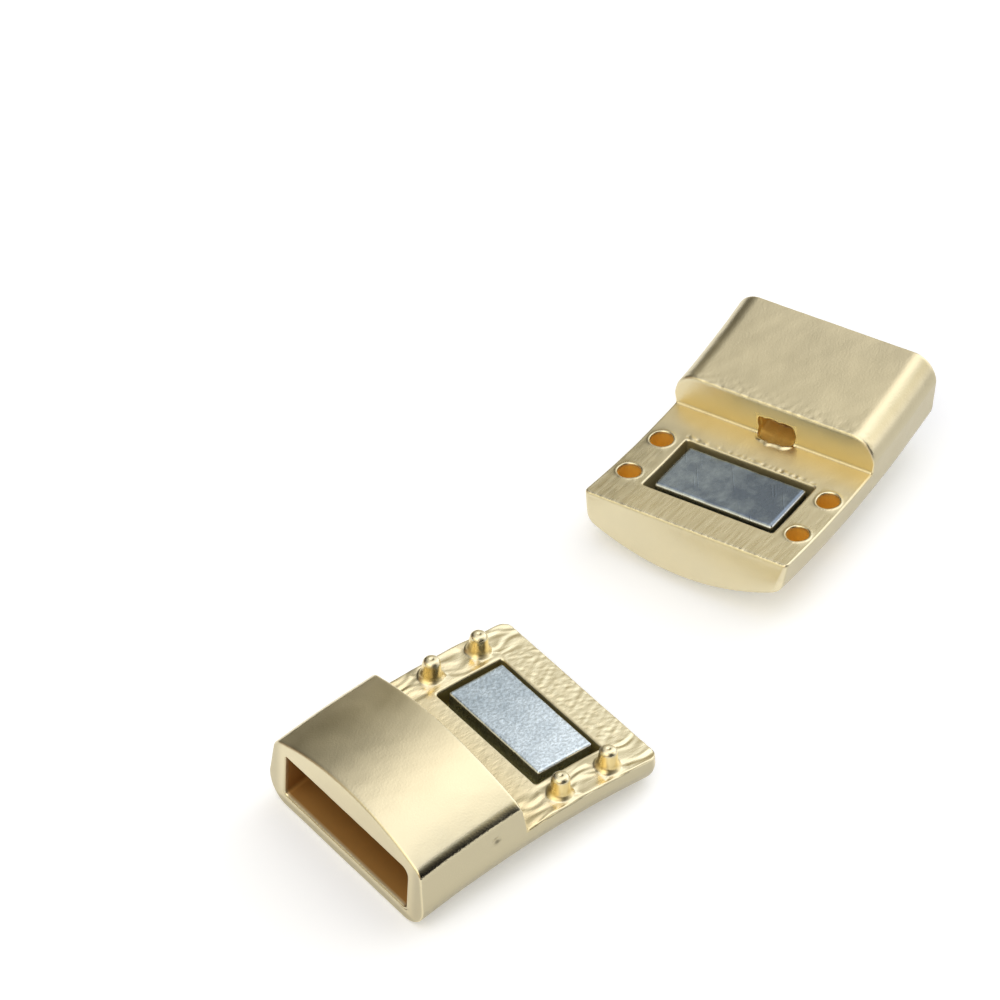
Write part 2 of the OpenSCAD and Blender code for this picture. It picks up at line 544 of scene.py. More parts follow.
@dataclass(frozen=True)
class LyingSizes:
    """Where the two halves lie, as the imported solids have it."""

    apart: float = 21.3
    aside: float = 5.9
    turn: float = 17.3
    pitch: float = 3.5
    bank: float = 5.0
    centre: Pair = (-0.8, -1.8)
    tongue_end: float = 4.8

    def pin_half(self) -> Lying:
        """Lays the pin half on the two ends of its inner face.

        Returns:
            How it lies.
        """
        inner = -SIZES.inner_t
        foot, far = -SIZES.length / 2, self.tongue_end
        foot_z, far_z = SIZES.arc_z(inner, foot), SIZES.arc_z(inner, far)
        turn = turned(1, math.degrees(math.atan2(far_z - foot_z, far - foot)))
        x = self.centre[0] - self.apart / 2 + foot
        place = np.array([x, self.centre[1] - self.aside / 2, 0])
        return Lying(turn, place - turn @ np.array([foot, 0, foot_z]))

    def socket_half(self) -> Lying:
        """Lays the socket half upside down on its dome.

        Returns:
            How it lies.
        """
        ring = SIZES.arc_r + SIZES.crown_t - SIZES.dome_r
        pitch, bank = math.radians(self.pitch), math.radians(self.bank)
        axis_z = ring * math.cos(bank) + SIZES.dome_r
        back = SIZES.arc_r * np.array([math.sin(pitch), math.cos(pitch) * math.sin(bank), 0])
        yaw = turned(2, self.turn)
        turn = yaw @ turned(0, -self.bank) @ turned(1, self.pitch) @ turned(0, 180)
        x, y = self.centre[0] + self.apart / 2, self.centre[1] + self.aside / 2
        shift = np.array([x, y, axis_z]) + yaw @ back
        return Lying(turn, shift + turn @ np.array([0, 0, SIZES.arc_r]))


class Sense(Enum):
    """Which way a casting's own frame lies: a and rho are the closed x and height times it."""

    PIN = 1
    SOCKET = -1


# Castings


@dataclass
class SteppedFace:
    """A casting's stepped face: rows along a x lines x (a, y, rho), and what is cut out."""

    points: Array
    tongue_row: int
    skip: Array = field(init=False)

    def __post_init__(self) -> None:
        """Starts with every quad in place."""
        self.skip = np.zeros((len(self.points) - 1, self.points.shape[1] - 1), bool)

    @property
    def middle(self) -> Array:
        """The points of its middle line."""
        return self.points[:, self.points.shape[1] // 2]

    def cut(self, rows: Sequence[int], columns: Sequence[int]) -> Array:
        """Leaves out the quads between two rows and two lines.

        Args:
            rows: The first row and the last.
            columns: The first line and the last.

        Returns:
            The border of what was left out, clockwise from above.
        """
        (top, bottom), (left, right), points = rows, columns, self.points
        self.skip[top:bottom, left:right] = True
        sides = [points[top, left:right], points[top:bottom, right]]
        sides += [points[bottom, right:left:-1], points[bottom:top:-1, left]]
        return np.concatenate(sides)

    def cut_box(self, centre: Pair, half: Pair) -> Array:
        """Leaves a rectangle out of the tongue.

        Args:
            centre: The rectangle's middle, as a and y.
            half: Half of its sizes along a and y.

        Returns:
            The border of what was left out, clockwise from above.
        """
        first = self.tongue_row
        grid = (self.middle[first:, 0], self.points[first, :, 1])
        rows, columns = (
            [nearest(values, middle - reach), nearest(values, middle + reach)]
            for values, middle, reach in zip(grid, centre, half)
        )
        return self.cut([first + row for row in rows], columns)


@dataclass
class Casting:
    """One cast half: block with its slot, step, tongue and magnet pocket.

    Its skin is one loop round the section, carried from the slot's end wall out of the slot,
    over the block's end face and then along the block and the tongue. The loop has a line on
    the stepped face for each place in lines(), and lines on the flanks and on the back.
    """

    name: str
    sense: Sense
    lying: Lying
    step_draft: float
    end_a: float
    end_draft: float
    end_corner_r: float
    pocket_depth: float
    shoulder_r: float = 0.9
    rim_r: float = 0.12
    block_edge_r: float = 0.16
    tongue_edge_r: float = 0.14
    step_edge_r: float = 0.2
    step_foot_r: float = 0.16
    mouth_r: float = 0.1
    slot_corner_r: Pair = (0.2, 0.2)
    tongue_start_a: float = -4.7
    end_margin: float = 0.05
    pocket_half: Pair = (2.45, 4.5)
    pocket_corner_r: float = 0.22
    pocket_margin: float = 0.25
    pocket_lip: tuple[Pair, ...] = (
        (0.16, 0.0), (0.1, -0.005), (0.06, 0.01), (0.025, 0.035), (0.0, 0.09),
    )
    pocket_wall: Pair = (0.2, 0.15)
    pocket_foot: tuple[Pair, ...] = ((-0.03, -0.05), (-0.1, 0.0), (-0.6, 0.0))
    round_half: float = 0.95
    # Painted shade on the flanks, and warm painted light thrown by other gold in the corner by the
    # step.
    flank_shade: float = 0.7
    flank_from_y: float = 6.2
    step_glow: float = 0.22
    swells: tuple[Waves, ...] = (Waves(11, 5.0, height=0.006), Waves(12, 1.3, height=0.0025))
    line_step: float = 0.1
    back_lines: int = 61
    flank_lines: int = 24
    rim_steps: int = 5
    block_steps: int = 46
    wall_steps: int = 14
    arc_points: int = 6
    end_rounding: int = 12
    slot_steps: int = 33
    end_steps: int = 10
    pocket_steps: int = 8

    @property
    def sign(self) -> int:
        """The sense as a number."""
        return self.sense.value

    @property
    def mating_rho(self) -> float:
        """Height of the mating face in the casting's own frame."""
        return -SIZES.fit_gap / 2

    @property
    def rounds(self) -> list[Pair]:
        """Where the pins or holes stand, as a and y."""
        half_a, half_y = SIZES.pin_pitch / 2, SIZES.pin_span / 2
        return [(a, y) for a in (-half_a, half_a) for y in (-half_y, half_y)]

    def from_round(self, places: Array) -> Array:
        """How far each place is from the axis of the nearest pin or hole."""
        across = np.abs(places[:, :2]) - self.rounds[-1]
        return np.hypot(across[:, 0], across[:, 1])

    def lines(self) -> Array:
        """Places the stepped face's lines, with one at each border of a hole.

        Returns:
            Shares across the face, -1 to 1.
        """
        half = SIZES.half_width(self.sign * self.mating_rho)
        reach = half - self.rim_r + self.rim_r * QUARTER
        middle = SIZES.pin_span / 2
        stops = [0, self.pocket_half[1] + self.pocket_margin, middle - self.round_half]
        stops += [middle + self.round_half, half - self.rim_r]
        flat = (half - self.rim_r) / reach
        rim = flat + (1 - flat) * np.linspace(0, 1, self.rim_steps + 1)[1:]
        side = np.concatenate([spaced(stops, self.line_step) / reach, rim])
        return np.concatenate([-side[:0:-1], side])

    def plane_a(self, start: float, draft: float, rho: Array) -> Array:
        """Where a leaning plane lies at height rho: start less the lean times the closed z."""
        z = SIZES.arc_z(self.sign * rho, start)
        return start - self.sign * z * math.tan(math.radians(draft))

    def wall_a(self, rho: Array) -> Array:
        """Where the step's wall lies at height rho."""
        return self.plane_a(SIZES.step_a, self.step_draft, rho)

    def outline(self, t: Array, domed: bool) -> Outline:
        """The dome or the inner face seen from its end, as y and rho."""
        y, height = SIZES.dome_outline(t, self.shoulder_r) if domed else SIZES.inner_outline(t)
        return y, self.sign * height

    def slot_rho(self) -> Pair:
        """Places the slot's two wide faces.

        Returns:
            The heights of the lower and the upper one, in the casting's own frame.
        """
        low = SIZES.slot_floor - SIZES.inner_t
        high = low + SIZES.slot_h
        return (low, high) if self.sense is Sense.PIN else (-high, -low)

    def stations(self) -> Array:
        """Places the tongue's rows, with one at each border of a hole.

        Returns:
            Places along the tongue, up to where its end rounds off.
        """
        pocket = self.pocket_half[0] + self.pocket_margin
        near = SIZES.pin_pitch / 2 - self.round_half
        last = self.end_a - self.end_corner_r - self.end_margin
        return spaced([self.tongue_start_a, -pocket, -near, near, pocket, last], self.line_step)

    def end_rows(self) -> tuple[Array, Array, Array]:
        """The rows that round the tongue's end.

        Returns:
            Distance from the end's plane, how far the flanks have come in, and the faces.
        """
        turn = np.linspace(0, QUARTER, self.end_rounding)
        left = self.end_corner_r * (1 - np.sin(turn))
        sides = self.end_corner_r * (1 - np.cos(turn))
        over = np.clip(self.tongue_edge_r - left, 0, None)
        faces = self.tongue_edge_r - np.sqrt(self.tongue_edge_r**2 - over**2)
        return left, sides, faces

    def stepped_face(self, t: Array) -> SteppedFace:
        """The face with the step: straight lines along the casting, each bent at the step.

        Each line runs level along the block, turns down over an arc, goes straight down the
        leaning wall, turns out over a second arc and runs level along the tongue.

        Args:
            t: Shares across the face.

        Returns:
            The face, with nothing cut out yet.
        """
        y_block, rho_block = self.outline(t, self.sense is Sense.PIN)
        half = SIZES.half_width(self.sign * self.mating_rho)
        y_tongue, drop = rounded_edge(t, half, self.rim_r)
        rho_tongue = self.mating_rho - drop
        level = np.full_like(t, self.block_edge_r - SIZES.length / 2)
        start = np.stack([level, y_block, rho_block], axis=1)
        top, foot = (
            np.stack([self.wall_a(rho) - drop, y, rho], axis=1)
            for y, rho in ((y_block, rho_block), (y_tongue, rho_tongue))
        )
        over = corner(start, top, foot, self.step_edge_r, self.arc_points)
        under = corner(top, foot, foot + ALONG, self.step_foot_r, self.arc_points)
        block = between(start, over[0], np.linspace(0, 1, self.block_steps + 1)[:-1])
        wall = between(over[-1], under[0], np.linspace(0, 1, self.wall_steps + 1)[1:-1])
        left, sides, faces = (values[:, None] for values in self.end_rows())
        end = self.plane_a(self.end_a, self.end_draft, rho_tongue)
        shrink = 1 - sides / (SIZES.width / 2)
        tongue, closing = (
            np.stack(np.broadcast_arrays(*sheet), axis=-1)
            for sheet in (
                (self.stations()[:, None], y_tongue, rho_tongue),
                (end - left, y_tongue * shrink, rho_tongue - faces),
            )
        )
        before = [block, over, wall, under]
        rows = np.concatenate([*before, tongue, closing])
        return SteppedFace(rows, sum(map(len, before)))

    def back_face(self, t: Array, face: SteppedFace) -> Array:
        """The face behind the step: one outline carried straight along the casting.

        Its rows lie beside those of the stepped face, spread evenly past the step.

        Args:
            t: Shares across the face.
            face: The stepped face.

        Returns:
            Rows along a x lines x (a, y, rho).
        """
        y_back, rho_back = self.outline(t, self.sense is Sense.SOCKET)
        along = face.middle[:, 0].copy()
        left, sides, faces = (values[:, None] for values in self.end_rows())
        wall, first, last = self.block_steps, face.tongue_row, len(along) - len(left)
        end = self.plane_a(self.end_a, self.end_draft, rho_back)
        along[wall:first] = np.linspace(along[wall], along[first], first - wall + 1)[:-1]
        reach = np.tile(along[:, None], (1, len(t)))
        share = (along[first:last] - along[first]) / (along[last - 1] - along[first])
        stop = end - self.end_corner_r - self.end_margin
        reach[first:last] = along[first] + share[:, None] * (stop - along[first])
        reach[last:] = end - left
        y, rho = (np.tile(values, (len(along), 1)) for values in (y_back, rho_back))
        y[last:] *= 1 - sides / (SIZES.width / 2)
        rho[last:] += faces
        return np.stack([reach, y, rho], axis=-1)

    def slot_loop(self, t_face: Array, t_back: Array) -> Array:
        """The slot seen from its mouth, with a point for each point of the section's loop.

        Args:
            t_face: Shares across the stepped face.
            t_back: Shares across the face behind it.

        Returns:
            The loop's points, one row each.
        """
        low, high = self.slot_rho()
        half = SIZES.slot_w / 2
        radius = np.where(t_face < 0, *self.slot_corner_r)
        y_high, drop = rounded_edge(t_face, half, radius)
        y_low, rise = rounded_edge(t_back, half, self.slot_corner_r[1])
        upper = np.stack([np.zeros_like(y_high), y_high, high - drop], axis=1)
        lower = np.stack([np.zeros_like(y_low), y_low, low + rise], axis=1)
        return self.loop(upper[None], lower[None])[0]

    def loop(self, face: Array, back: Array) -> Array:
        """Joins both faces' rows into closed loops, with straight flanks between their edges.

        Args:
            face: Rows on the stepped side.
            back: Rows behind it.

        Returns:
            The loops, one row each.
        """
        share = np.linspace(0, 1, self.flank_lines + 2)[1:-1][None, :, None]
        right = face[:, -1:] + share * (back[:, -1:] - face[:, -1:])
        left = back[:, :1] + share * (face[:, :1] - back[:, :1])
        return np.concatenate([face, right, back[:, ::-1], left], axis=1)

    def slot_rows(self, section: Array, slot: Array) -> Array:
        """The rows from the slot's end wall out to the block's rounded end edge.

        The loop runs along the slot, turns over the mouth's edge, crosses the flat end face
        by straight steps and turns over the block's edge by sinking along its own normals.

        Args:
            section: The block's section loop.
            slot: The slot's loop.

        Returns:
            Rows x loop x (a, y, rho).
        """
        mouth_r, edge_r = self.mouth_r, self.block_edge_r
        deep_a, end = SIZES.slot_end_a, -SIZES.length / 2
        inside, outside = outward(slot), outward(section)
        turn = np.linspace(0, QUARTER, self.arc_points)
        deep = over_edge(slot, -inside, mouth_r, deep_a, -1, turn[::-1])
        along = np.linspace(deep_a - mouth_r, end + mouth_r, self.slot_steps + 1)[1:-1]
        walls = slot + ALONG * along[:, None, None]
        mouth = over_edge(slot, inside, mouth_r, end, 1, turn)
        edge = over_edge(section * (1 - ALONG), -outside, edge_r, end, 1, turn[:0:-1])
        cross = between(mouth[-1], edge[0], np.linspace(0, 1, self.end_steps + 1)[1:-1])
        return np.concatenate([deep, walls, mouth, cross, edge])

    def build(self) -> bpy.types.Object:
        """Makes the casting's mesh, roughens it and lays it down.

        Returns:
            The casting, placed and without a material.
        """
        skin = Skin()
        t_face, t_back = self.lines(), np.linspace(-1, 1, self.back_lines)
        face = self.stepped_face(t_face)
        body = self.loop(face.points, self.back_face(t_back, face))
        opening = self.slot_rows(body[0], self.slot_loop(t_face, t_back))
        rings = self.open_face(face)
        rows = np.concatenate([opening, body])
        skip = np.zeros((len(rows) - 1, rows.shape[1]), bool)
        skip[len(opening) :, : len(t_face) - 1] = face.skip
        numbers = skin.sheet(rows, wrap=True, skip=skip)
        for ring in rings:
            placed = skin.sheet(ring, wrap=True)
            skin.cap(placed[-1][::-1])
        skin.cap(numbers[-1][::-1])
        self.close_slot(skin, numbers[0], face)
        mesh = skin.mesh(self.name)
        places, normals = read_points(mesh)
        for share, values in self.shares(places, normals).items():
            write_share(mesh, share, values)
        write_points(mesh, self.relief(places, normals))
        places, _ = read_points(mesh)
        write_points(mesh, self.lay(places) * MM)
        return placed_object(self.name + "_casting", mesh)

    def close_slot(self, skin: Skin, ring: Array, face: SteppedFace) -> None:
        """Closes the slot's end wall inside this ring; the face is for what leads through it."""
        skin.cap(ring)

    def open_face(self, face: SteppedFace) -> list[Array]:
        """Cuts the pocket and the four rounds out of the stepped face.

        Args:
            face: The face.

        Returns:
            The surfaces that go into what was cut, each as rings.
        """
        half_a, half_y = (half + self.pocket_margin for half in self.pocket_half)
        found = [self.pocket(face.cut_box((0, 0), (half_a, half_y)))]
        for a, y in self.rounds:
            border = face.cut_box((a, y), (self.round_half, self.round_half))
            found.append(self.round(border, a, y))
        return found

    def pocket(self, border: Array) -> Array:
        """The magnet's pocket: rings of a round-cornered rectangle, carried down its wall.

        Args:
            border: The border that it is cut into.

        Returns:
            Rings x border x (a, y, rho).
        """
        (half_a, half_y), floor = self.pocket_half, self.pocket_depth
        first, rest = self.pocket_wall
        wall = np.linspace(first, floor - rest, self.pocket_steps + 1)
        rows = [*self.pocket_lip, *((0.0, depth) for depth in wall)]
        rows += [(offset, floor + rise) for offset, rise in self.pocket_foot]
        rings = [border]
        for offset, depth in rows:
            corner_r = self.pocket_corner_r
            spots = box_ring(border[:, :2], half_a + offset, half_y + offset, corner_r)
            rings.append(at_height(spots, self.mating_rho - depth))
        return np.stack(rings)

    def round_rows(self) -> list[Triple]:
        """Radius, height over the mating face and unevenness of a pin's or hole's rings."""
        raise NotImplementedError

    def round(self, border: Array, a: float, y: float) -> Array:
        """A pin or a hole: rings carried from a square border to circles and along their axis.

        A ring's unevenness is a sum of two sines round it.

        Args:
            border: The border that it stands in.
            a: Its place along the casting.
            y: Its place across.

        Returns:
            Rings x border x (a, y, rho).
        """
        spoke = border[:, :2] - [a, y]
        angle = np.arctan2(spoke[:, 1], spoke[:, 0])
        way = np.stack([np.cos(angle), np.sin(angle)], axis=1)
        wobble = np.sin(3 * angle + 5 * a + y) + 0.6 * np.sin(5 * angle - 3 * a)
        rings = [border]
        for radius, height, uneven in self.round_rows():
            reach = radius * (1 + uneven * wobble)
            rings.append(at_height([a, y] + reach[:, None] * way, self.mating_rho + height))
        return np.stack(rings)

    def inside_slot(self, places: Array) -> Array:
        """How far in from the mouth the slot's walls lie.

        Args:
            places: Places in the casting's own frame.

        Returns:
            The distance for each place, and 0 where it isn't on the slot's walls.
        """
        (low, high), touch = self.slot_rho(), 0.02
        within = (np.abs(places[:, 1]) < SIZES.slot_w / 2 + touch) & (places[:, 2] > low - touch)
        within &= (places[:, 2] < high + touch) & (places[:, 0] < SIZES.slot_end_a + touch)
        return np.where(within, places[:, 0] + SIZES.length / 2, 0)

    def on_mating_face(self, places: Array, normals: Array) -> Array:
        """Whether each place lies on the level mating face."""
        return (normals[:, 2] > 0.75) & (np.abs(places[:, 2] - self.mating_rho) < 0.08)

    def shares(self, places: Array, normals: Array) -> Shares:
        """What the material needs to know about each place.

        Args:
            places: Places in the casting's own frame.
            normals: Outward normals there.

        Returns:
            From 0 to 1: how far a place lies inside the slot or the pocket, for painted shade
                there,
            how much warm light other gold throws on it, as painted light, how much it was polished
            by wear, how matt its plate is, how much painted shade it takes as a flank, and how
            rough the casting left it.
        """
        a, y, rho = places.T
        depth, past = self.mating_rho - rho, a - SIZES.step_a
        across, bent = np.abs(y), np.abs(normals[:, 1])
        hollow = smooth(0.6 * self.mouth_r, 1.8 * self.mouth_r, self.inside_slot(places))
        half_a, half_y = (half + 0.03 for half in self.pocket_half)
        pocket = (np.abs(a) < half_a) * (across < half_y) * smooth(0.04, 0.25, depth)
        deep = np.maximum(hollow, pocket)
        by_step = smooth(-0.15, 0.02, past) * (1 - smooth(0, 2.6, past)) * (depth < 0.1)
        shoulder = smooth(5.5, 6.0, across) * smooth(0.3, 0.6, bent)
        shoulder = shoulder * (1 - smooth(0.93, 0.995, bent)) * (self.sign * rho > 1.2)
        # hollow and pocket carry painted shade, warm carries painted light by the step, and flank
        # carries painted shade on the flanks.
        return {
            "hollow": hollow,
            "pocket": pocket,
            "warm": self.step_glow * by_step,
            "worn": shoulder,
            "matt": deep,
            "flank": smooth(0.8, 0.97, bent) * (1 - deep) * (across > self.flank_from_y),
            "rough_cast": self.tongue_share(places, normals),
        }

    def tongue_share(self, places: Array, normals: Array) -> Array:
        """How open the mating face is, falling to 0 at its edges, its pocket and its rounds.

        Args:
            places: Places in the casting's own frame.
            normals: Outward normals there.

        Returns:
            A share for each place, 0 off the mating face.
        """
        a, y, _ = places.T
        pocket = np.maximum(np.abs(a) - self.pocket_half[0], np.abs(y) - self.pocket_half[1])
        share = smooth(0.05, 0.3, pocket) * smooth(0.15, 0.6, a - SIZES.step_a)
        share = share * smooth(0.62, 1.0, self.from_round(places))
        return np.where(self.on_mating_face(places, normals), share, 0)

    def relief(self, places: Array, normals: Array) -> Array:
        """Moves the smooth skin in and out, as casting and polishing leave it."""
        swell = sum(waves.at(places) for waves in self.swells)
        return places + normals * swell[:, None]

    def to_closed(self, places: Array) -> Array:
        """From the casting's own frame to the closed one: a and rho change by the sense."""
        return places * [self.sign, 1, self.sign]

    def lay(self, places: Array) -> Array:
        """From the casting's own frame to the floor's: by the sense, onto the arc, laid down.

        Args:
            places: Places in the casting's own frame.

        Returns:
            The places on the floor.
        """
        closed = self.to_closed(places)
        closed[:, 2] = SIZES.arc_z(closed[:, 2], closed[:, 0])
        return self.lying.carry(closed)


@dataclass
class PinHalf(Casting):
    """The half with the four pins, whose tongue lies under the other one's when they are joined."""

    pin_tip_r: float = 0.53
    pin_foot_r: float = 0.6
    pin_foot_h: float = 0.32
    pin_h: float = 1.35
    pin_cap_r: float = 0.3
    pin_skirt: tuple[Triple, ...] = (
        (0.86, 0.0, 0.0), (0.81, 0.02, 0.03), (0.765, 0.07, 0.04),
        (0.72, 0.12, 0.03), (0.675, 0.16, 0.02), (0.635, 0.22, 0.01),
    )
    pin_dimple: tuple[Pair, ...] = ((0.15, 0.012), (0.1, 0.0), (0.05, -0.035), (0.015, -0.04))
    shank_steps: int = 6
    cap_steps: int = 7
    # How much painted light other gold throws on the pins' shanks.
    shank_glow: float = 0.5
    tip_wear: float = 0.3
    lip_wear: float = 0.5
    # How dark the flanks' painted shade is.
    flank_shade: float = 0.5
    bend: Waves = Waves(21, (2.6, 1.8, LEVEL), height=0.22)
    ripple: Waves = Waves(22, (0.75, 0.5, LEVEL), 24, 0.028)
    pebble: Waves = Waves(23, (0.55, 0.36, LEVEL), height=0.014)
    raised_rim: float = 0.02
    pit_depth: float = 0.13
    pit_at: Pair = (-7.15, 0.7)
    pit_half: Pair = (0.27, 0.18)

    def round_rows(self) -> list[Triple]:
        """A pin: a low skirt, a tapered shank and a round-edged tip with a small dimple.

        Returns:
            Radius, height over the mating face and unevenness of each ring.
        """
        cap, core = self.pin_h - self.pin_cap_r, self.pin_tip_r - self.pin_cap_r
        foot_r, foot_h = self.pin_foot_r, self.pin_foot_h
        rows = [*self.pin_skirt]
        for share in np.linspace(0, 1, self.shank_steps + 1):
            radius = foot_r + (self.pin_tip_r - foot_r) * share
            rows.append((radius, foot_h + (cap - foot_h) * share, 0.0))
        for turn in np.linspace(0, QUARTER, self.cap_steps + 1)[1:]:
            radius = core + self.pin_cap_r * math.cos(turn)
            rows.append((radius, cap + self.pin_cap_r * math.sin(turn), 0.0))
        return rows + [(radius, self.pin_h + height, 0.0) for radius, height in self.pin_dimple]

    def shares(self, places: Array, normals: Array) -> Shares:
        """Adds painted light on the pins' shanks, their polished tips, painted shade on the end
        face's rim and the flanks' lower part, and the polished lip.

        Args:
            places: Places in the casting's own frame.
            normals: Outward normals there.

        Returns:
            The shares, as every casting has them.
        """
        found = super().shares(places, normals)
        a, y, rho = places.T
        height, from_end = rho - self.mating_rho, a + SIZES.length / 2
        # Painted light: warm light thrown on the pins' shanks.
        shank = smooth(0.0, 0.2, height) * (1 - smooth(-0.35, -0.15, height - self.pin_h))
        tip, near = smooth(0.1, 0.5, height), self.from_round(places) < self.round_half
        lift(found, near, warm=self.shank_glow * shank, worn=self.tip_wear * tip)
        # Painted shade: the end face darkens round the slot below and beside it, and the flanks
        # darken towards their foot.
        below, beside = self.slot_rho()[0] - rho, np.abs(y) - SIZES.slot_w / 2
        rim = np.maximum(smooth(0.12, 0.4, below), 0.75 * smooth(0.15, 0.9, beside))
        end_face = smooth(0.7, 0.95, -normals[:, 0]) * (from_end < 0.1)
        lower = 1 - smooth(-1.9, 0.1, rho)
        found["flank"] = np.maximum(found["flank"] * (0.6 + 0.4 * lower), 0.6 * end_face * rim)
        lip = (from_end < self.mouth_r + 0.02) & (below < 0.2) & (below > -0.1) & (beside < 0)
        lift(found, lip, worn=self.lip_wear * smooth(0.15, 0.4, normals[:, 2]))
        return found

    def relief(self, places: Array, normals: Array) -> Array:
        """Adds the flowing ripples by the pins, the pebbled end and the pit in the near flank.

        Args:
            places: Places in the casting's own frame.
            normals: Outward normals there.

        Returns:
            The moved places.
        """
        moved = super().relief(places, normals)
        a, y, rho = places.T
        across = np.abs(y)
        flow = np.column_stack([0.3 * a, y + self.bend.at(places), 0 * y])
        side = smooth(4.4, 4.9, across)
        calm = 1 - 0.75 * (1 - smooth(-2.9, -2.3, a))
        height = side * self.ripple.at(flow) + (1 - side) * calm * self.pebble.at(places)
        rim = self.raised_rim * smooth(6.35, 6.65, across) * (1 - smooth(6.75, 6.9, across))
        off_a, off_rho = a - self.pit_at[0], rho - self.pit_at[1]
        pit = bell(off_a / self.pit_half[0], off_rho / self.pit_half[1]) * (y < -6)
        lift_by = self.tongue_share(places, normals) * (height + rim) - self.pit_depth * pit
        return moved + normals * lift_by[:, None]


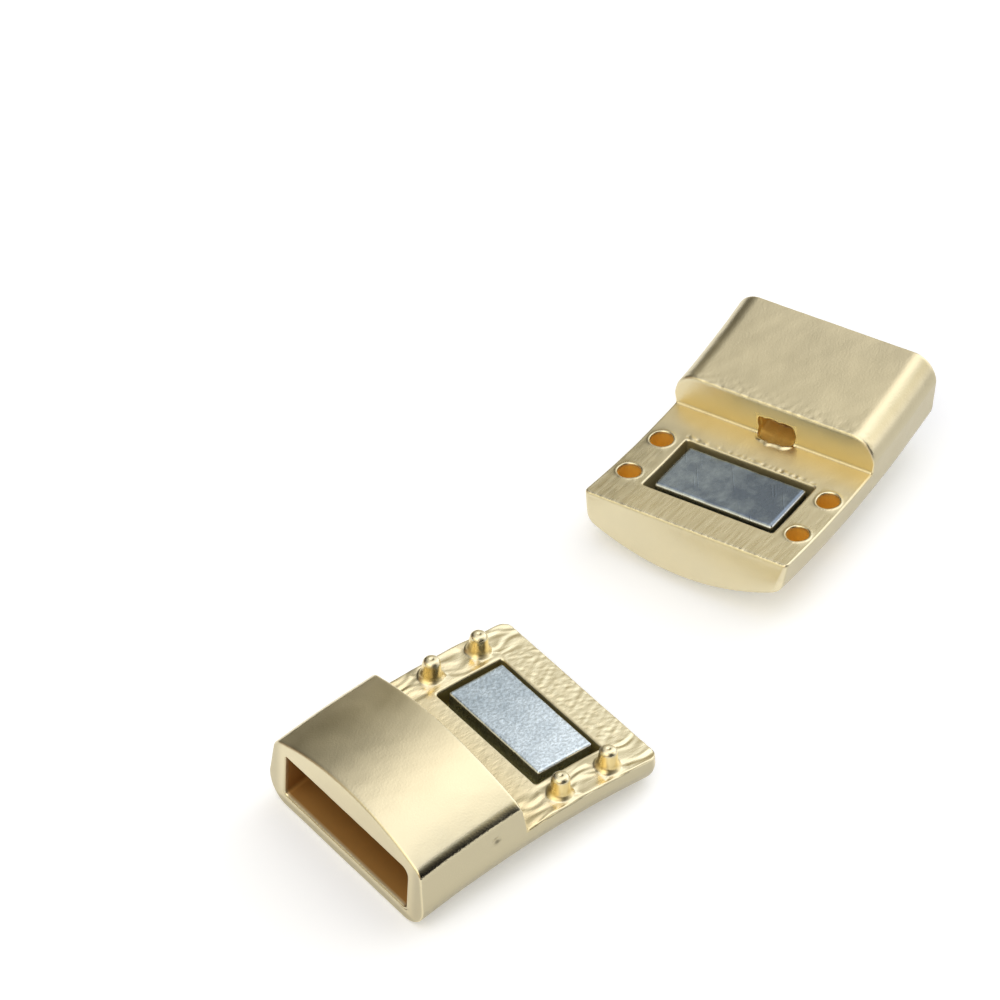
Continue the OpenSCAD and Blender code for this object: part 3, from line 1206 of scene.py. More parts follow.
@dataclass
class SocketHalf(Casting):
    """The half with the four holes, which lies upside down on its dome."""

    hole_r: float = 0.68
    hole_depth: float = 1.4
    hole_rim: tuple[Triple, ...] = (
        (0.93, 0.0, 0.0), (0.87, 0.012, 0.01), (0.81, 0.03, 0.02),
        (0.75, 0.03, 0.02), (0.715, 0.012, 0.015), (0.692, -0.03, 0.01),
    )
    hole_edge: float = 0.09
    hole_wall: Pair = (0.2, 0.1)
    hole_bottom: tuple[Pair, ...] = ((0.63, 0.0), (0.3, -0.08), (0.02, -0.14))
    hole_steps: int = 7
    opening_half: float = 1.28
    opening_middle: float = 0.2
    opening_top: float = 1.2
    opening_power: float = 5.0
    opening_wobble: tuple[Triple, ...] = ((0.035, 3, 0.5), (0.025, 7, 1.7), (0.012, 13, 0.0))
    notch: Triple = (0.14, 2.45, 0.16)
    sill: float = 0.3
    lip: tuple[Pair, ...] = (
        (0.2, 0.0), (0.16, -0.02), (0.13, -0.055), (0.09, -0.08), (0.05, -0.075),
        (0.015, -0.03), (0.0, 0.04), (-0.02, 0.12), (-0.03, 0.2), (-0.03, 0.3),
    )
    lip_reach: float = 1.7
    lip_shares: Triple = (0.3, 0.6, 0.85)
    cut_margin: float = 0.3
    cut_across: Pair = (-1.6, 1.8)
    cut_rows_out: int = 7
    tunnel_inset: float = 0.05
    tunnel_start: float = 0.3
    tunnel_rings: int = 8
    flare: float = 0.28
    rim_wear: float = 0.5
    lip_wear: float = 0.8
    # How strong the pocket's painted shade is, and the painted shade in patches on the mating face.
    pocket_share: float = 0.6
    dull: float = 0.85
    patches: Waves = Waves(34, 0.9, 20, 0.25)
    brushed: Waves = Waves(31, (3.5, 0.3, LEVEL), 30, 0.004)
    dents: Waves = Waves(32, (0.42, 0.34, 0.4), 24)
    dent_depth: float = 0.013
    flecks: Waves = Waves(33, (0.5, 0.35, LEVEL), 24, 0.028)
    burr_a: float = -2.68
    burr_half: Pair = (0.1, 4.6)
    end_burr: Triple = (0.22, 0.1, 0.12)
    pits: tuple[Pair, ...] = ((4.9, -0.75), (-0.6, -0.55), (1.9, -2.1), (-3.8, -1.6))
    pit_half: Pair = (0.09, 0.08)
    pit_depth: float = 0.09

    def round_rows(self) -> list[Triple]:
        """A hole with a low raised rim, straight walls and a drilled bottom.

        Returns:
            Radius, height over the mating face and unevenness of each ring.
        """
        first, rest = self.hole_wall
        wall = np.linspace(first, self.hole_depth - rest, self.hole_steps + 1)
        rows = [*self.hole_rim, (self.hole_r, -self.hole_edge, 0.0)]
        rows += [(self.hole_r, -depth, 0.0) for depth in wall]
        return rows + [(radius, rise - self.hole_depth, 0.0) for radius, rise in self.hole_bottom]

    def opening_ring(self, angle: Array, shrink: float) -> Outline:
        """The core opening's uneven outline: a rounded box in polar form, with a notch.

        Its reach is the box's, softened by the power mean of its two sides, times a slow wobble.

        Args:
            angle: Directions about the opening's middle, 0 along y.
            shrink: How far the outline is drawn in.

        Returns:
            Place across, and height over the opening's middle.
        """
        half_y, half_h = self.opening_half - shrink, (self.opening_top + self.sill) / 2 - shrink
        power, (deep, ahead, wide) = self.opening_power, self.notch
        sides = np.abs(np.cos(angle) / half_y) ** power + np.abs(np.sin(angle) / half_h) ** power
        wobble = sum(size * np.sin(n * angle + phase) for size, n, phase in self.opening_wobble)
        reach = sides ** (-1 / power) * (1 + wobble) - deep * bell((angle - ahead) / wide)
        return reach * np.cos(angle), reach * np.sin(angle)

    def open_face(self, face: SteppedFace) -> list[Array]:
        """Cuts the core opening as well, whose tunnel close_slot() makes."""
        self.cut_opening(face)
        return super().open_face(face)

    def cut_opening(self, face: SteppedFace) -> Array:
        """Cuts the core opening's place out of the step's wall and the mating face by it.

        Args:
            face: The face.

        Returns:
            The border of what was left out, clockwise from above.
        """
        first = face.tongue_row
        a, _, rho = face.middle[:first].T
        on_wall = a > SIZES.step_a - self.cut_margin
        top = nearest(np.where(on_wall, rho, math.inf), self.opening_top + self.cut_margin)
        columns = [nearest(face.points[first, :, 1], y) for y in self.cut_across]
        return face.cut([top, first + self.cut_rows_out], columns)

    def folded(self, y: Array, way: Array, sunk: Array | float) -> Array:
        """Folds flat places into the step: up its wall, round its foot and out on the mating face.

        With w the way and r the foot's radius, a place turns by t = (r - w) / 2r of a right angle
        about (wall + r, face + r) where |w| < r, and lies straight on the wall or face beyond.

        Args:
            y: Places across.
            way: Ways up the wall from the foot, or out from it where they are below 0.
            sunk: How far the places lie below the surface.

        Returns:
            The places as a, y and rho.
        """
        rho, foot = self.mating_rho, self.step_foot_r
        up = np.clip(way, 0, None)
        wall = self.wall_a(rho + up)
        turn = np.clip((foot - way) / (2 * foot), 0, 1) * QUARTER
        bent = np.abs(way) < foot
        a = np.where(bent, wall + foot - foot * np.cos(turn), wall + np.clip(-way, 0, None))
        level = np.where(bent, rho + foot - foot * np.sin(turn), rho + up)
        return np.column_stack([a - sunk * np.cos(turn), y, level - sunk * np.sin(turn)])

    def unfolded(self, border: Array) -> Array:
        """Measures places on the step's surface as folded() takes them.

        Args:
            border: The places, one row each.

        Returns:
            Their ways from the step's foot, up the wall or below 0 out from it.
        """
        foot = self.step_foot_r
        out = border[:, 0] - self.wall_a(border[:, 2])
        up = border[:, 2] - self.mating_rho
        turn = np.arctan2(foot - up, foot - out)
        bent = (out < foot) & (up < foot)
        return np.where(bent, foot - 2 * foot * turn / QUARTER, np.where(up >= foot, up, -out))

    def core_opening(self, border: Array) -> Array:
        """The opening from the step into the slot, with the lip that its sill leaves.

        Args:
            border: The border of what was left out of the stepped face.

        Returns:
            Rings from the border through the mouth to the slot's end wall.
        """
        centre, aside = (self.opening_top - self.sill) / 2, self.opening_middle
        rho, across = self.mating_rho, border[:, 1]
        start = self.unfolded(border)
        flat = np.where(start < 0, start / self.lip_reach, start) + rho
        angle = np.arctan2(flat - centre, across - aside)
        rings = [border]
        for wider, depth in self.lip:
            y, height = self.opening_ring(angle, -wider)
            y, height = y + aside, height + centre
            below = np.clip(rho - height, 0, None)
            way = np.where(below > 0, -self.lip_reach * below, height - rho)
            if len(rings) == 1:
                for share in self.lip_shares:
                    spot = across + share * (y - across)
                    rings.append(self.folded(spot, start + share * (way - start), 0.0))
            bead = smooth(0.02, 0.3, below) * smooth(-1.3, -0.7, y - aside)
            sunk = min(depth, 0) * (0.05 + 0.95 * bead) + max(depth, 0)
            rings.append(self.folded(y, way, sunk))
        y, height = self.opening_ring(angle, self.tunnel_inset)
        height = np.maximum(height + centre, rho - self.sill)
        first = SIZES.step_a - self.tunnel_start
        for a in np.linspace(first, SIZES.slot_end_a, self.tunnel_rings):
            rings.append(np.column_stack([np.full_like(y, a), y + aside, height]))
        return np.stack(rings)

    def close_slot(self, skin: Skin, ring: Array, face: SteppedFace) -> None:
        """Leads the core opening through the slot's end wall.

        Args:
            skin: The skin that the tunnel is added to.
            ring: Numbers of the points round the wall.
            face: The stepped face.
        """
        numbers = skin.sheet(self.core_opening(self.cut_opening(face)), wrap=True)
        height = (self.opening_top - self.sill) / 2
        skin.join(ring, numbers[-1], np.array([SIZES.slot_end_a, self.opening_middle, height]))

    def shares(self, places: Array, normals: Array) -> Shares:
        """Adds painted light and shade in the holes and the core opening, their polished rims, and
        patchy painted shade on the mating face.

        Args:
            places: Places in the casting's own frame.
            normals: Outward normals there.

        Returns:
            The shares, as every casting has them.
        """
        found = super().shares(places, normals)
        a, y, rho = places.T
        depth, past = self.mating_rho - rho, a - SIZES.step_a
        reach = self.from_round(places)
        # Painted light: warm light thrown inside the holes.
        inside = (reach < self.hole_r + 0.02) * smooth(0.03, 0.2, depth)
        rim = (1 - smooth(0.8, 0.9, reach)) * (depth < 0.05) * (depth > -0.1)
        lift(found, True, warm=inside, matt=inside, worn=self.rim_wear * rim)
        # Painted light and a little painted shade inside the core opening.
        tunnel = np.abs(y - self.opening_middle) < self.opening_half + 0.15
        tunnel &= (rho < self.opening_top + 0.15) & (rho > -self.sill - 0.12)
        tunnel &= (past < 0.6) & (a > SIZES.slot_end_a - 0.05)
        within = np.maximum(smooth(0.03, 0.1, depth), smooth(0.08, 0.2, -past))
        lift(found, tunnel, warm=within, hollow=0.1 * within, matt=within)
        lip = tunnel & (within < 0.05) & (np.abs(depth) > 0.004)
        found["worn"] = np.where(lip, self.lip_wear, found["worn"])
        found["rough_cast"] = found["rough_cast"] * smooth(-3.0, 0.2, a)
        # Painted shade: the pocket's shade is weaker here, and the mating face darkens in patches
        # on its -y side along the tongue.
        found["pocket"] = self.pocket_share * found["pocket"]
        patchy = 0.75 + np.clip(self.patches.at(places), -0.25, 0.25)
        dull = self.dull * (1 - smooth(-6.0, -3.4, y)) * smooth(-3.6, -2.4, a) * patchy
        lift(found, self.on_mating_face(places, normals), flank=dull)
        return found

    def relief(self, places: Array, normals: Array) -> Array:
        """Adds brush lines, burrs, dents by the step, pits in the end face and one side's flare.

        Args:
            places: Places in the casting's own frame.
            normals: Outward normals there.

        Returns:
            The moved places.
        """
        moved = super().relief(places, normals)
        a, y, rho = places.T
        level = self.on_mating_face(places, normals)
        lines = self.tongue_share(places, normals) * smooth(-2.4, 1.5, a)
        block = (normals[:, 2] > 0.6) & (a < SIZES.step_a - 0.1)
        dented = block * smooth(-6.6, -5.4, a) * np.minimum(self.dents.at(places), 0.3)
        burr = bell((a - self.burr_a) / self.burr_half[0]) * (np.abs(y) < self.burr_half[1])
        share, inset, half = self.end_burr
        burr = burr + share * bell((a - self.end_a + inset) / half)
        lift_by = lines * self.brushed.at(places) + self.dent_depth * dented
        lift_by = lift_by + level * burr * self.flecks.at(places)
        face = smooth(0.8, 0.95, normals[:, 0])
        for pit_y, pit_rho in self.pits:
            pit = bell((y - pit_y) / self.pit_half[0], (rho - pit_rho) / self.pit_half[1])
            lift_by = lift_by - self.pit_depth * face * pit
        moved = moved + normals * lift_by[:, None]
        reach = np.clip((a - SIZES.step_a) / (self.end_a - SIZES.step_a), 0, 1)
        moved[:, 1] -= self.flare * reach * np.clip(-y / (SIZES.width / 2), 0, 1) ** 2
        return moved


# Magnets


class MagnetFinish(Enum):
    """Which copy of the nickel plate a magnet gets: as it is, or darker by painted shade and
    scuffed.
    """

    BRIGHT = "bright and grained"
    DARK = "darker and scuffed"


@dataclass
class BarMagnet:
    """A bar magnet with bevelled edges, glued into a casting's pocket."""

    name: str
    casting: Casting
    shift: float
    # Which copy of the nickel plate it gets, plain or darkened by painted shade.
    top_rho: float
    finish: MagnetFinish
    half_a: float = 1.97
    half_y: float = 4.04
    thickness: float = 1.5
    bevel: float = 0.1
    bevel_rows: tuple[Pair, ...] = ((0.1, 0.8), (0.5, 0.42), (0.85, 0.12))
    soft: float = 0.04
    foot: float = 0.02
    corner_r: float = 0.12
    least_r: float = 0.03
    top_margins: Pair = (0.12, 0.1)
    around: int = 240
    side_steps: int = 7
    top_rings: int = 12
    chipped: Waves = Waves(41, 0.8, height=0.006)

    def build(self) -> bpy.types.Object:
        """Makes the bar as rings of a round-cornered rectangle, carried up its side and inwards.

        Returns:
            The magnet, placed and without a material.
        """
        border, bevel = self.border(), self.bevel
        low, high = self.top_rho - self.thickness, self.top_rho
        side = np.linspace(low, high - bevel - self.soft, self.side_steps + 1)[1:]
        first, last = bevel + self.top_margins[0], self.half_a - self.top_margins[1]
        inwards = [bevel + self.soft, *np.linspace(first, last, self.top_rings)]
        rows = [(0.0, rho) for rho in (low, low + self.foot, *side)]
        rows += [(bevel * inset, high - bevel * drop) for inset, drop in self.bevel_rows]
        rows += [(inset, high) for inset in inwards]
        rings = []
        for inset, rho in rows:
            radius = max(self.corner_r - inset, self.least_r)
            spots = box_ring(border, self.half_a - inset, self.half_y - inset, radius)
            rings.append(at_height(spots + [self.shift, 0], rho))
        skin = Skin()
        numbers = skin.sheet(np.stack(rings), wrap=True)
        skin.cap(numbers[0])
        skin.cap(numbers[-1][::-1])
        mesh = skin.mesh(self.name)
        places, normals = read_points(mesh)
        a, y, rho = places.T
        # Shares for painted light: rim marks the bevel for a painted highlight, and sheen runs
        # across the top for painted shade at one end.
        bevelled = smooth(high - bevel - 0.1, high - bevel, rho)
        write_share(mesh, "rim", smooth(0.2, 0.5, 1 - normals[:, 2]) * bevelled)
        sheen = smooth(-1.2 * self.half_y, 1.1 * self.half_y, 0.4 * a - y)
        write_share(mesh, "sheen", sheen)
        edge = smooth(0.6 * self.half_a, self.half_a, np.abs(a - self.shift))
        places = places + normals * (self.chipped.at(places) * edge)[:, None]
        closed = self.casting.to_closed(places)
        write_points(mesh, self.casting.lying.carry(closed) * MM)
        return placed_object(self.name + "_bar", mesh)

    def border(self) -> Array:
        """A sharp rectangle's outline, with more points near its corners.

        Returns:
            Points a, y, clockwise from above.
        """
        side = np.sin(np.linspace(-QUARTER, QUARTER, self.around // 4 + 1))
        one = np.ones(len(side) - 1)
        left = np.column_stack([-one, side[:-1]])
        top = np.column_stack([side[:-1], one])
        return np.concatenate([left, top, -left, -top]) * [self.half_a, self.half_y]


# Finishes


@dataclass
class Nodes:
    """Adds nodes to a material and links them."""

    tree: bpy.types.NodeTree

    def add(
        self, kind: str, inputs: dict[str, object] | None = None, **settings: object
    ) -> bpy.types.Node:
        """Adds one node.

        Args:
            kind: The node's type name, without ShaderNode before it.
            inputs: Values or sockets for its inputs.
            settings: Its own settings.

        Returns:
            The node.
        """
        node = self.tree.nodes.new("ShaderNode" + kind)
        for key, value in settings.items():
            setattr(node, key, value)
        for key, value in (inputs or {}).items():
            socket = node.inputs[int(key) if key.isdigit() else key]
            if isinstance(value, Socket):
                self.tree.links.new(value, socket)
            else:
                socket.default_value = value
        return node

    def coordinates(self, turn: Array) -> Socket:
        """Object coordinates in millimetres, turned to run along the half.

        Args:
            turn: How the half is turned as it lies.

        Returns:
            The coordinates.
        """
        angles = Matrix(turn.T.tolist()).to_euler("XYZ")
        place = self.add("TexCoord").outputs["Object"]
        spun = self.add("Mapping", {"Vector": place, "Rotation": angles}).outputs[0]
        return self.scaled(spun, 1 / MM)

    def vector_maths(self, operation: str, first: object, second: object) -> Socket:
        """Works on two vectors."""
        return self.add("VectorMath", {"0": first, "1": second}, operation=operation).outputs[0]

    def scaled(self, vector: object, factor: object) -> Socket:
        """A vector or a colour times one number."""
        inputs = {"0": vector, "Scale": factor}
        return self.add("VectorMath", inputs, operation="SCALE").outputs[0]

    def maths(self, operation: str, *values: object) -> Socket:
        """Works on numbers."""
        inputs = {str(number): value for number, value in enumerate(values)}
        return self.add("Math", inputs, operation=operation).outputs[0]

    def noise(
        self, vector: Socket, scale: float, detail: float = 2.0, rough: float = 0.5
    ) -> Socket:
        """Smooth noise from about 0.2 to 0.8."""
        inputs = {"Vector": vector, "Scale": scale, "Detail": detail, "Roughness": rough}
        return self.add("TexNoise", inputs).outputs[0]

    def ranged(self, value: Socket, source: Pair, target: Pair = (0.0, 1.0)) -> Socket:
        """Maps one range of numbers onto another, held at its ends."""
        ends = dict(zip(("From Min", "From Max", "To Min", "To Max"), (*source, *target)))
        return self.add("MapRange", {"Value": value, **ends}).outputs[0]

    def mixed(self, share: Socket, first: Socket | Triple, second: Socket | Triple) -> Socket:
        """Mixes two colours."""
        low, high = ((*end, 1) if isinstance(end, tuple) else end for end in (first, second))
        return self.add("Mix", {"0": share, "6": low, "7": high}, data_type="RGBA").outputs[2]

    def blended(self, share: Socket, first: object, second: object) -> Socket:
        """Mixes two numbers."""
        return self.add("Mix", {"0": share, "2": first, "3": second}, data_type="FLOAT").outputs[0]

    def bump(self, height: Socket, depth: float, under: Socket | None = None) -> Socket:
        """A bump on top of another one.

        Args:
            height: Heights from 0 to 1.
            depth: What 1 stands for, in millimetres.
            under: The bump below it, if there is one.

        Returns:
            The bumped normal.
        """
        inputs: dict[str, object] = {"Height": height, "Distance": depth * MM, "Strength": 1.0}
        if under is not None:
            inputs["Normal"] = under
        return self.add("Bump", inputs).outputs[0]

    def share(self, name: str) -> Socket:
        """A number that the mesh keeps for each vertex."""
        return self.add("Attribute", attribute_name=name).outputs["Fac"]

    def end(self, kind: str, inputs: dict[str, object], output: str) -> None:
        """Ends the tree in one shader and its output node."""
        shader = self.add(kind, inputs)
        self.tree.links.new(shader.outputs[0], self.add(output).inputs[0])

    def metal(self, colour: Socket, rough: Socket, normal: Socket) -> None:
        """Ends the material as bare metal."""
        inputs = {"Base Color": colour, "Metallic": 1.0, "Roughness": rough, "Normal": normal}
        self.end("BsdfPrincipled", inputs, "OutputMaterial")


def empty_nodes(owner: bpy.types.Material | bpy.types.World) -> Nodes:
    """Empties the node tree of a material or of the surroundings.

    Args:
        owner: What has the tree.

    Returns:
        The helper that fills it.
    """
    owner.use_nodes = True
    owner.node_tree.nodes.clear()
    return Nodes(owner.node_tree)


@dataclass(frozen=True)
class SatinGold:
    """Pale gold plate on a blasted casting, browner and darker where light has to go deep, as
    painted shade, with painted light thrown by other gold and painted shade on the flanks.
    """

    name: str
    turn: Array
    plate: Triple = (0.74, 0.66, 0.446)
    # The next three colours are painted light and shade: light that other gold throws, shade deep
    # in the slot, and shade in the pocket's gap.
    thrown: Triple = (0.90, 0.66, 0.20)
    deep: Triple = (0.47, 0.26, 0.078)
    shaded: Triple = (0.42, 0.34, 0.13)
    cloudiness: Pair = (0.965, 1.02)
    satin: Pair = (0.31, 0.39)
    worn: float = 0.12
    matt: float = 0.65
    # How dark the painted shade on the flanks and on part of the mating face is.
    flank: float = 0.7
    rough_cast: Pair = (0.22, 0.34)
    grain: float = 0.009
    streaks: float = 0.009
    middling: Pair = (0.3, 0.7)

    def build(self) -> bpy.types.Material:
        """Makes the material: clouds in the plate, the shares' painted light and shade and their
        gloss, fine bumps.

        Returns:
            The material.
        """
        material = bpy.data.materials.new(self.name)
        nodes = empty_nodes(material)
        place = nodes.coordinates(self.turn)
        cloud = nodes.noise(place, 0.45, 3.0)
        grain = nodes.noise(place, 8.0, 3.0, 0.6)
        drawn = nodes.vector_maths("MULTIPLY", place, (0.5, 5.0, 5.0))
        streak = nodes.noise(drawn, 1.0, 3.0)
        cast = nodes.share("rough_cast")
        light = nodes.ranged(cloud, self.middling)
        colour = nodes.mixed(light, *(self.tinted(factor) for factor in self.cloudiness))
        # Painted light and shade from the shares: flank darkens as painted shade, warm adds painted
        # light thrown by other gold, hollow and pocket darken as painted shade.
        layers = {"flank": self.tinted(self.flank), "warm": self.thrown}
        layers |= {"hollow": self.deep, "pocket": self.shaded}
        for name, over in layers.items():
            colour = nodes.mixed(nodes.share(name), colour, over)
        even = nodes.ranged(cloud, self.middling, self.satin)
        bare = nodes.ranged(streak, self.middling, self.rough_cast)
        rough = nodes.blended(cast, even, bare)
        rough = nodes.blended(nodes.share("worn"), rough, self.worn)
        rough = nodes.blended(nodes.share("matt"), rough, self.matt)
        fine = nodes.bump(grain, self.grain)
        lines = nodes.bump(nodes.maths("MULTIPLY", streak, cast), self.streaks, fine)
        nodes.metal(colour, rough, lines)
        return material

    def tinted(self, factor: float) -> Triple:
        """The plate's colour, lighter or darker."""
        red, green, blue = self.plate
        return red * factor, green * factor, blue * factor


@dataclass(frozen=True)
class NickelPlate:
    """Satin nickel on a magnet: a fine grain, faint clouds and a few scratches, with painted shade
    darkening one end as a reflection would, and a painted highlight on the bevel.
    """

    name: str
    turn: Array
    plate: Triple = (0.82, 0.92, 1.0)
    # The colour of the clouds, and of the painted shade at one end.
    cloudy: Triple = (0.38, 0.455, 0.51)
    smoothness: Pair = (0.26, 0.36)
    grain: float = 0.02
    grain_scale: float = 5.0
    speckle: float = 0.28
    scratch: float = 0.0
    scratch_turn: float = 0.6
    clouds: float = 0.35
    # How much painted shade darkens the one end.
    darker_end: float = 0.65
    # A painted highlight's colour for the bevel.
    rim: Triple = (0.88, 0.91, 0.95)

    def build(self) -> bpy.types.Material:
        """Makes the material: clouds and one end darkened by painted shade, specks, a rim
        brightened as a painted highlight, and scratches.

        Returns:
            The material.
        """
        material = bpy.data.materials.new(self.name)
        nodes = empty_nodes(material)
        place = nodes.coordinates(self.turn)
        grain = nodes.noise(place, self.grain_scale, 3.0, 0.6)
        cloud = nodes.noise(place, 0.8, 4.0, 0.65)
        spin = {"Vector": place, "Rotation": (0, 0, self.scratch_turn)}
        slanted = nodes.add("Mapping", spin).outputs[0]
        drawn = nodes.vector_maths("MULTIPLY", slanted, (0.25, 6.0, 1.0))
        cut = nodes.ranged(nodes.noise(drawn, 1.0, 2.0), (0.64, 0.7))
        clouds = nodes.ranged(cloud, (0.35, 0.65), (0.0, self.clouds))
        # Painted shade: the sheen share darkens the plate towards one end, as a painted reflection.
        sheen = nodes.ranged(nodes.share("sheen"), (0.0, 1.0), (self.darker_end, 0.0))
        rough = nodes.ranged(cloud, (0.35, 0.7), self.smoothness)
        clouded_and_shaded = nodes.mixed(nodes.maths("ADD", clouds, sheen), self.plate, self.cloudy)
        fleck = nodes.ranged(grain, (0.4, 0.62), (1 - self.speckle, 1.0))
        # Painted highlight: the bevel takes the bright rim colour.
        colour = nodes.mixed(nodes.share("rim"), nodes.scaled(clouded_and_shaded, fleck), self.rim)
        bumps = nodes.bump(cut, self.scratch, nodes.bump(grain, self.grain))
        nodes.metal(colour, rough, bumps)
        return material


@dataclass(frozen=True)
class DarkNickelPlate(NickelPlate):
    """The other magnet's plate, a shaded copy: darker and bluer by painted shade, smoother, with
    scratches.
    """

    plate: Triple = (0.37, 0.43, 0.48)
    cloudy: Triple = (0.17, 0.205, 0.255)
    clouds: float = 0.75
    smoothness: Pair = (0.2, 0.32)
    grain: float = 0.005
    speckle: float = 0.08
    scratch: float = 0.005


NICKEL = {MagnetFinish.BRIGHT: NickelPlate, MagnetFinish.DARK: DarkNickelPlate}


@dataclass(frozen=True)
class FloorPaper:
    """Matt white paper, a little brighter than real, as an overexposed picture has it."""

    name: str = "floor_paper"
    shade: float = 0.92
    rough: float = 0.9
    glow: float = 0.22
    glow_tint: Triple = (0.88, 0.97, 1.12)

    def build(self) -> bpy.types.Material:
        """Makes the material.

        Returns:
            The material.
        """
        material = bpy.data.materials.new(self.name)
        inputs = {"Base Color": (self.shade, self.shade, self.shade, 1), "Roughness": self.rough}
        inputs |= {"Emission Color": (*self.glow_tint, 1), "Emission Strength": self.glow}
        empty_nodes(material).end("BsdfPrincipled", inputs, "OutputMaterial")
        return material


# Placing


class Slot(Enum):
    """The material slots' names."""

    GOLD = "gold_casting"
    MAGNET = "magnet_plate"


def show(piece: bpy.types.Object, node: str, material: bpy.types.Material) -> None:
    """Dresses a piece, lets it ride on the one body and lets it stand for its solid.

    Args:
        piece: The piece.
        node: The solid's node.
        material: The material.
    """
    piece.data.materials.append(material)
    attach(piece, "root")
    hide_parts(node)
    LOG.info("%s: %d faces, for %s", piece.name, len(piece.data.polygons), node)


# Studio


def direction(azimuth: float, elevation: float) -> Triple:
    """The way that these degrees point, with azimuth 0 along +Y and 90 along +X."""
    turn, rise = math.radians(azimuth), math.radians(elevation)
    return math.sin(turn) * math.cos(rise), math.cos(turn) * math.cos(rise), math.sin(rise)


@dataclass(frozen=True)
class SoftLight:
    """A soft light far off: its glow falls away smoothly round one direction."""

    azimuth: float
    elevation: float
    glow: Triple
    spread: float = 14.0

    def build(self, nodes: Nodes, ahead: Socket) -> Socket:
        """Its glow, times exp((c - 1) / spread^2) with c the cosine of the angle to its direction.

        Args:
            nodes: The surroundings' nodes.
            ahead: The direction that is looked at.

        Returns:
            The glow's colour.
        """
        inputs = {"0": ahead, "1": direction(self.azimuth, self.elevation)}
        cosine = nodes.add("VectorMath", inputs, operation="DOT_PRODUCT").outputs["Value"]
        narrow = 1 / math.radians(self.spread) ** 2
        power = nodes.maths("MULTIPLY_ADD", cosine, narrow, -narrow)
        return nodes.scaled(self.glow, nodes.maths("EXPONENT", power))


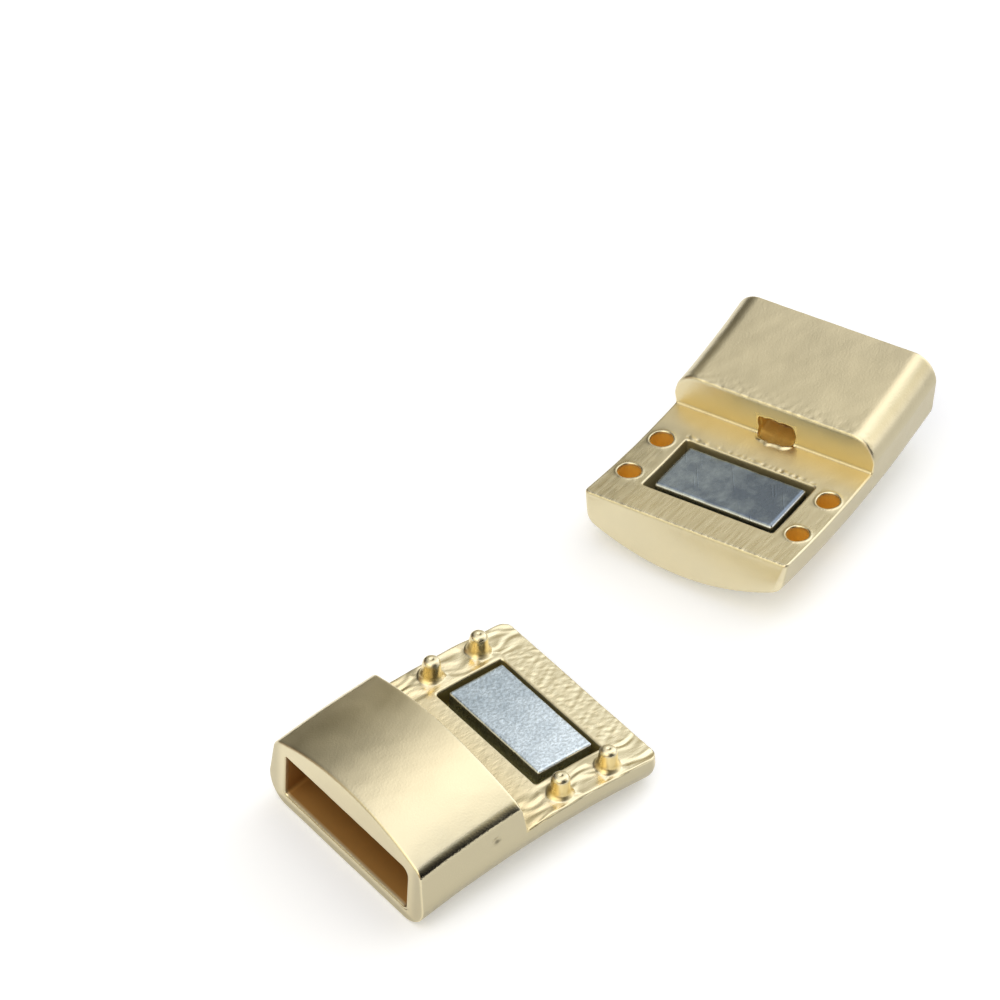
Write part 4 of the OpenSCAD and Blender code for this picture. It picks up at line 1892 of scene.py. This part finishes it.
@dataclass(frozen=True)
class Studio:
    """White floor, soft lights and the camera."""

    azimuth: float = 38.21
    elevation: float = 45.27
    roll: float = -1.4
    distance: float = 0.30136
    target: Triple = (0.00084, 0.01174, 0.0)
    lens: float = 180.0
    sensor: float = 36.0
    clip: Pair = (0.01, 10)
    floor_half: float = 1.5
    floor_z: float = -0.00002
    lights: tuple[SoftLight, ...] = (
        SoftLight(0, 90, (0.70, 0.84, 1.00), 18.0),
        SoftLight(60, 66, (1.42, 1.25, 1.10)),
        SoftLight(240, 66, (1.07, 0.89, 0.86)),
        SoftLight(300, 66, (0.88, 0.86, 0.87)),
        SoftLight(40, 42, (0.38, 0.39, 0.37)),
        SoftLight(80, 42, (1.10, 1.24, 1.42)),
        SoftLight(120, 42, (0.82, 0.74, 0.53)),
        SoftLight(240, 42, (1.55, 1.50, 1.22)),
        SoftLight(280, 42, (1.22, 1.12, 0.70)),
        SoftLight(40, 16, (0.44, 0.37, 0.22)),
        SoftLight(80, 16, (1.80, 1.82, 1.92)),
        SoftLight(120, 16, (1.42, 1.43, 1.50)),
        SoftLight(240, 16, (0.68, 0.49, 0.33)),
        SoftLight(280, 16, (0.54, 0.58, 0.60)),
        SoftLight(320, 16, (0.46, 0.31, 0.19)),
    )

    def build(self) -> None:
        """Makes the floor, the surroundings with their lights, and the camera."""
        self.floor()
        self.surroundings()
        self.camera()
        view = bpy.context.scene.view_settings
        view.view_transform, view.look = "Standard", "None"
        view.exposure, view.gamma = 0.0, 1.0

    def floor(self) -> None:
        """A plain sheet of white paper, a hair under the clasp."""
        half, corners = self.floor_half, ((-1, -1), (1, -1), (1, 1), (-1, 1))
        mesh = bpy.data.meshes.new("floor")
        mesh.from_pydata([(half * x, half * y, self.floor_z) for x, y in corners], [], [range(4)])
        floor = placed_object("floor", mesh)
        mesh.materials.append(FloorPaper().build())

    def surroundings(self) -> None:
        """A dark studio, lit by the sum of its soft lights."""
        world = bpy.data.worlds.new("studio")
        bpy.context.scene.world = world
        nodes = empty_nodes(world)
        ahead = nodes.add("TexCoord").outputs["Generated"]
        total = self.lights[0].build(nodes, ahead)
        for light in self.lights[1:]:
            total = nodes.vector_maths("ADD", total, light.build(nodes, ahead))
        nodes.end("Background", {"Color": total, "Strength": 1.0}, "OutputWorld")

    def camera(self) -> None:
        """The camera at the fitted place, looking at the target."""
        look = Vector(direction(self.azimuth, -self.elevation))
        data = bpy.data.cameras.new("camera")
        data.lens, data.sensor_width, data.sensor_fit = self.lens, self.sensor, "AUTO"
        data.clip_start, data.clip_end = self.clip
        camera = bpy.data.objects.new("camera", data)
        camera.location = Vector(self.target) - look * self.distance
        roll = Quaternion((0, 0, 1), math.radians(self.roll))
        camera.rotation_euler = (look.to_track_quat("-Z", "Y") @ roll).to_euler()
        bpy.context.scene.collection.objects.link(camera)
        bpy.context.scene.camera = camera


def main() -> None:
    """Builds both castings, both magnets and the studio."""
    logging.basicConfig(level=logging.INFO, format="%(name)s: %(message)s")
    lying = LyingSizes()
    pin_half = PinHalf(
        name="pin_half", sense=Sense.PIN, lying=lying.pin_half(), step_draft=12, end_a=4.8,
        end_draft=0, end_corner_r=0.8, pocket_depth=1.45, slot_corner_r=(0.5, 0.18), mouth_r=0.12,
    )
    socket_half = SocketHalf(
        name="socket_half", sense=Sense.SOCKET, lying=lying.socket_half(), step_draft=3, end_a=4.9,
        end_draft=12, end_corner_r=0.4, pocket_depth=1.65, tongue_edge_r=0.24,
    )
    bright_bar = BarMagnet("pin_half_magnet", pin_half, 0.12, 0.07, MagnetFinish.BRIGHT)
    # This magnet gets the nickel copy darkened by painted shade.
    dark_bar = BarMagnet(
        "socket_half_magnet", socket_half, -0.1, -0.08, MagnetFinish.DARK,
        half_a=2.02, half_y=4.11, bevel=0.17, corner_r=0.2,
    )
    for half in (pin_half, socket_half):
        name = "satin_gold_" + half.name
        gold = SatinGold(name, half.lying.turn, flank=half.flank_shade).build()
        show(half.build(), half.name, gold)
    for bar in (bright_bar, dark_bar):
        nickel = NICKEL[bar.finish]("nickel_" + bar.name, bar.casting.lying.turn).build()
        show(bar.build(), bar.name, nickel)
    Studio().build()


if __name__ == "__main__":
    main()
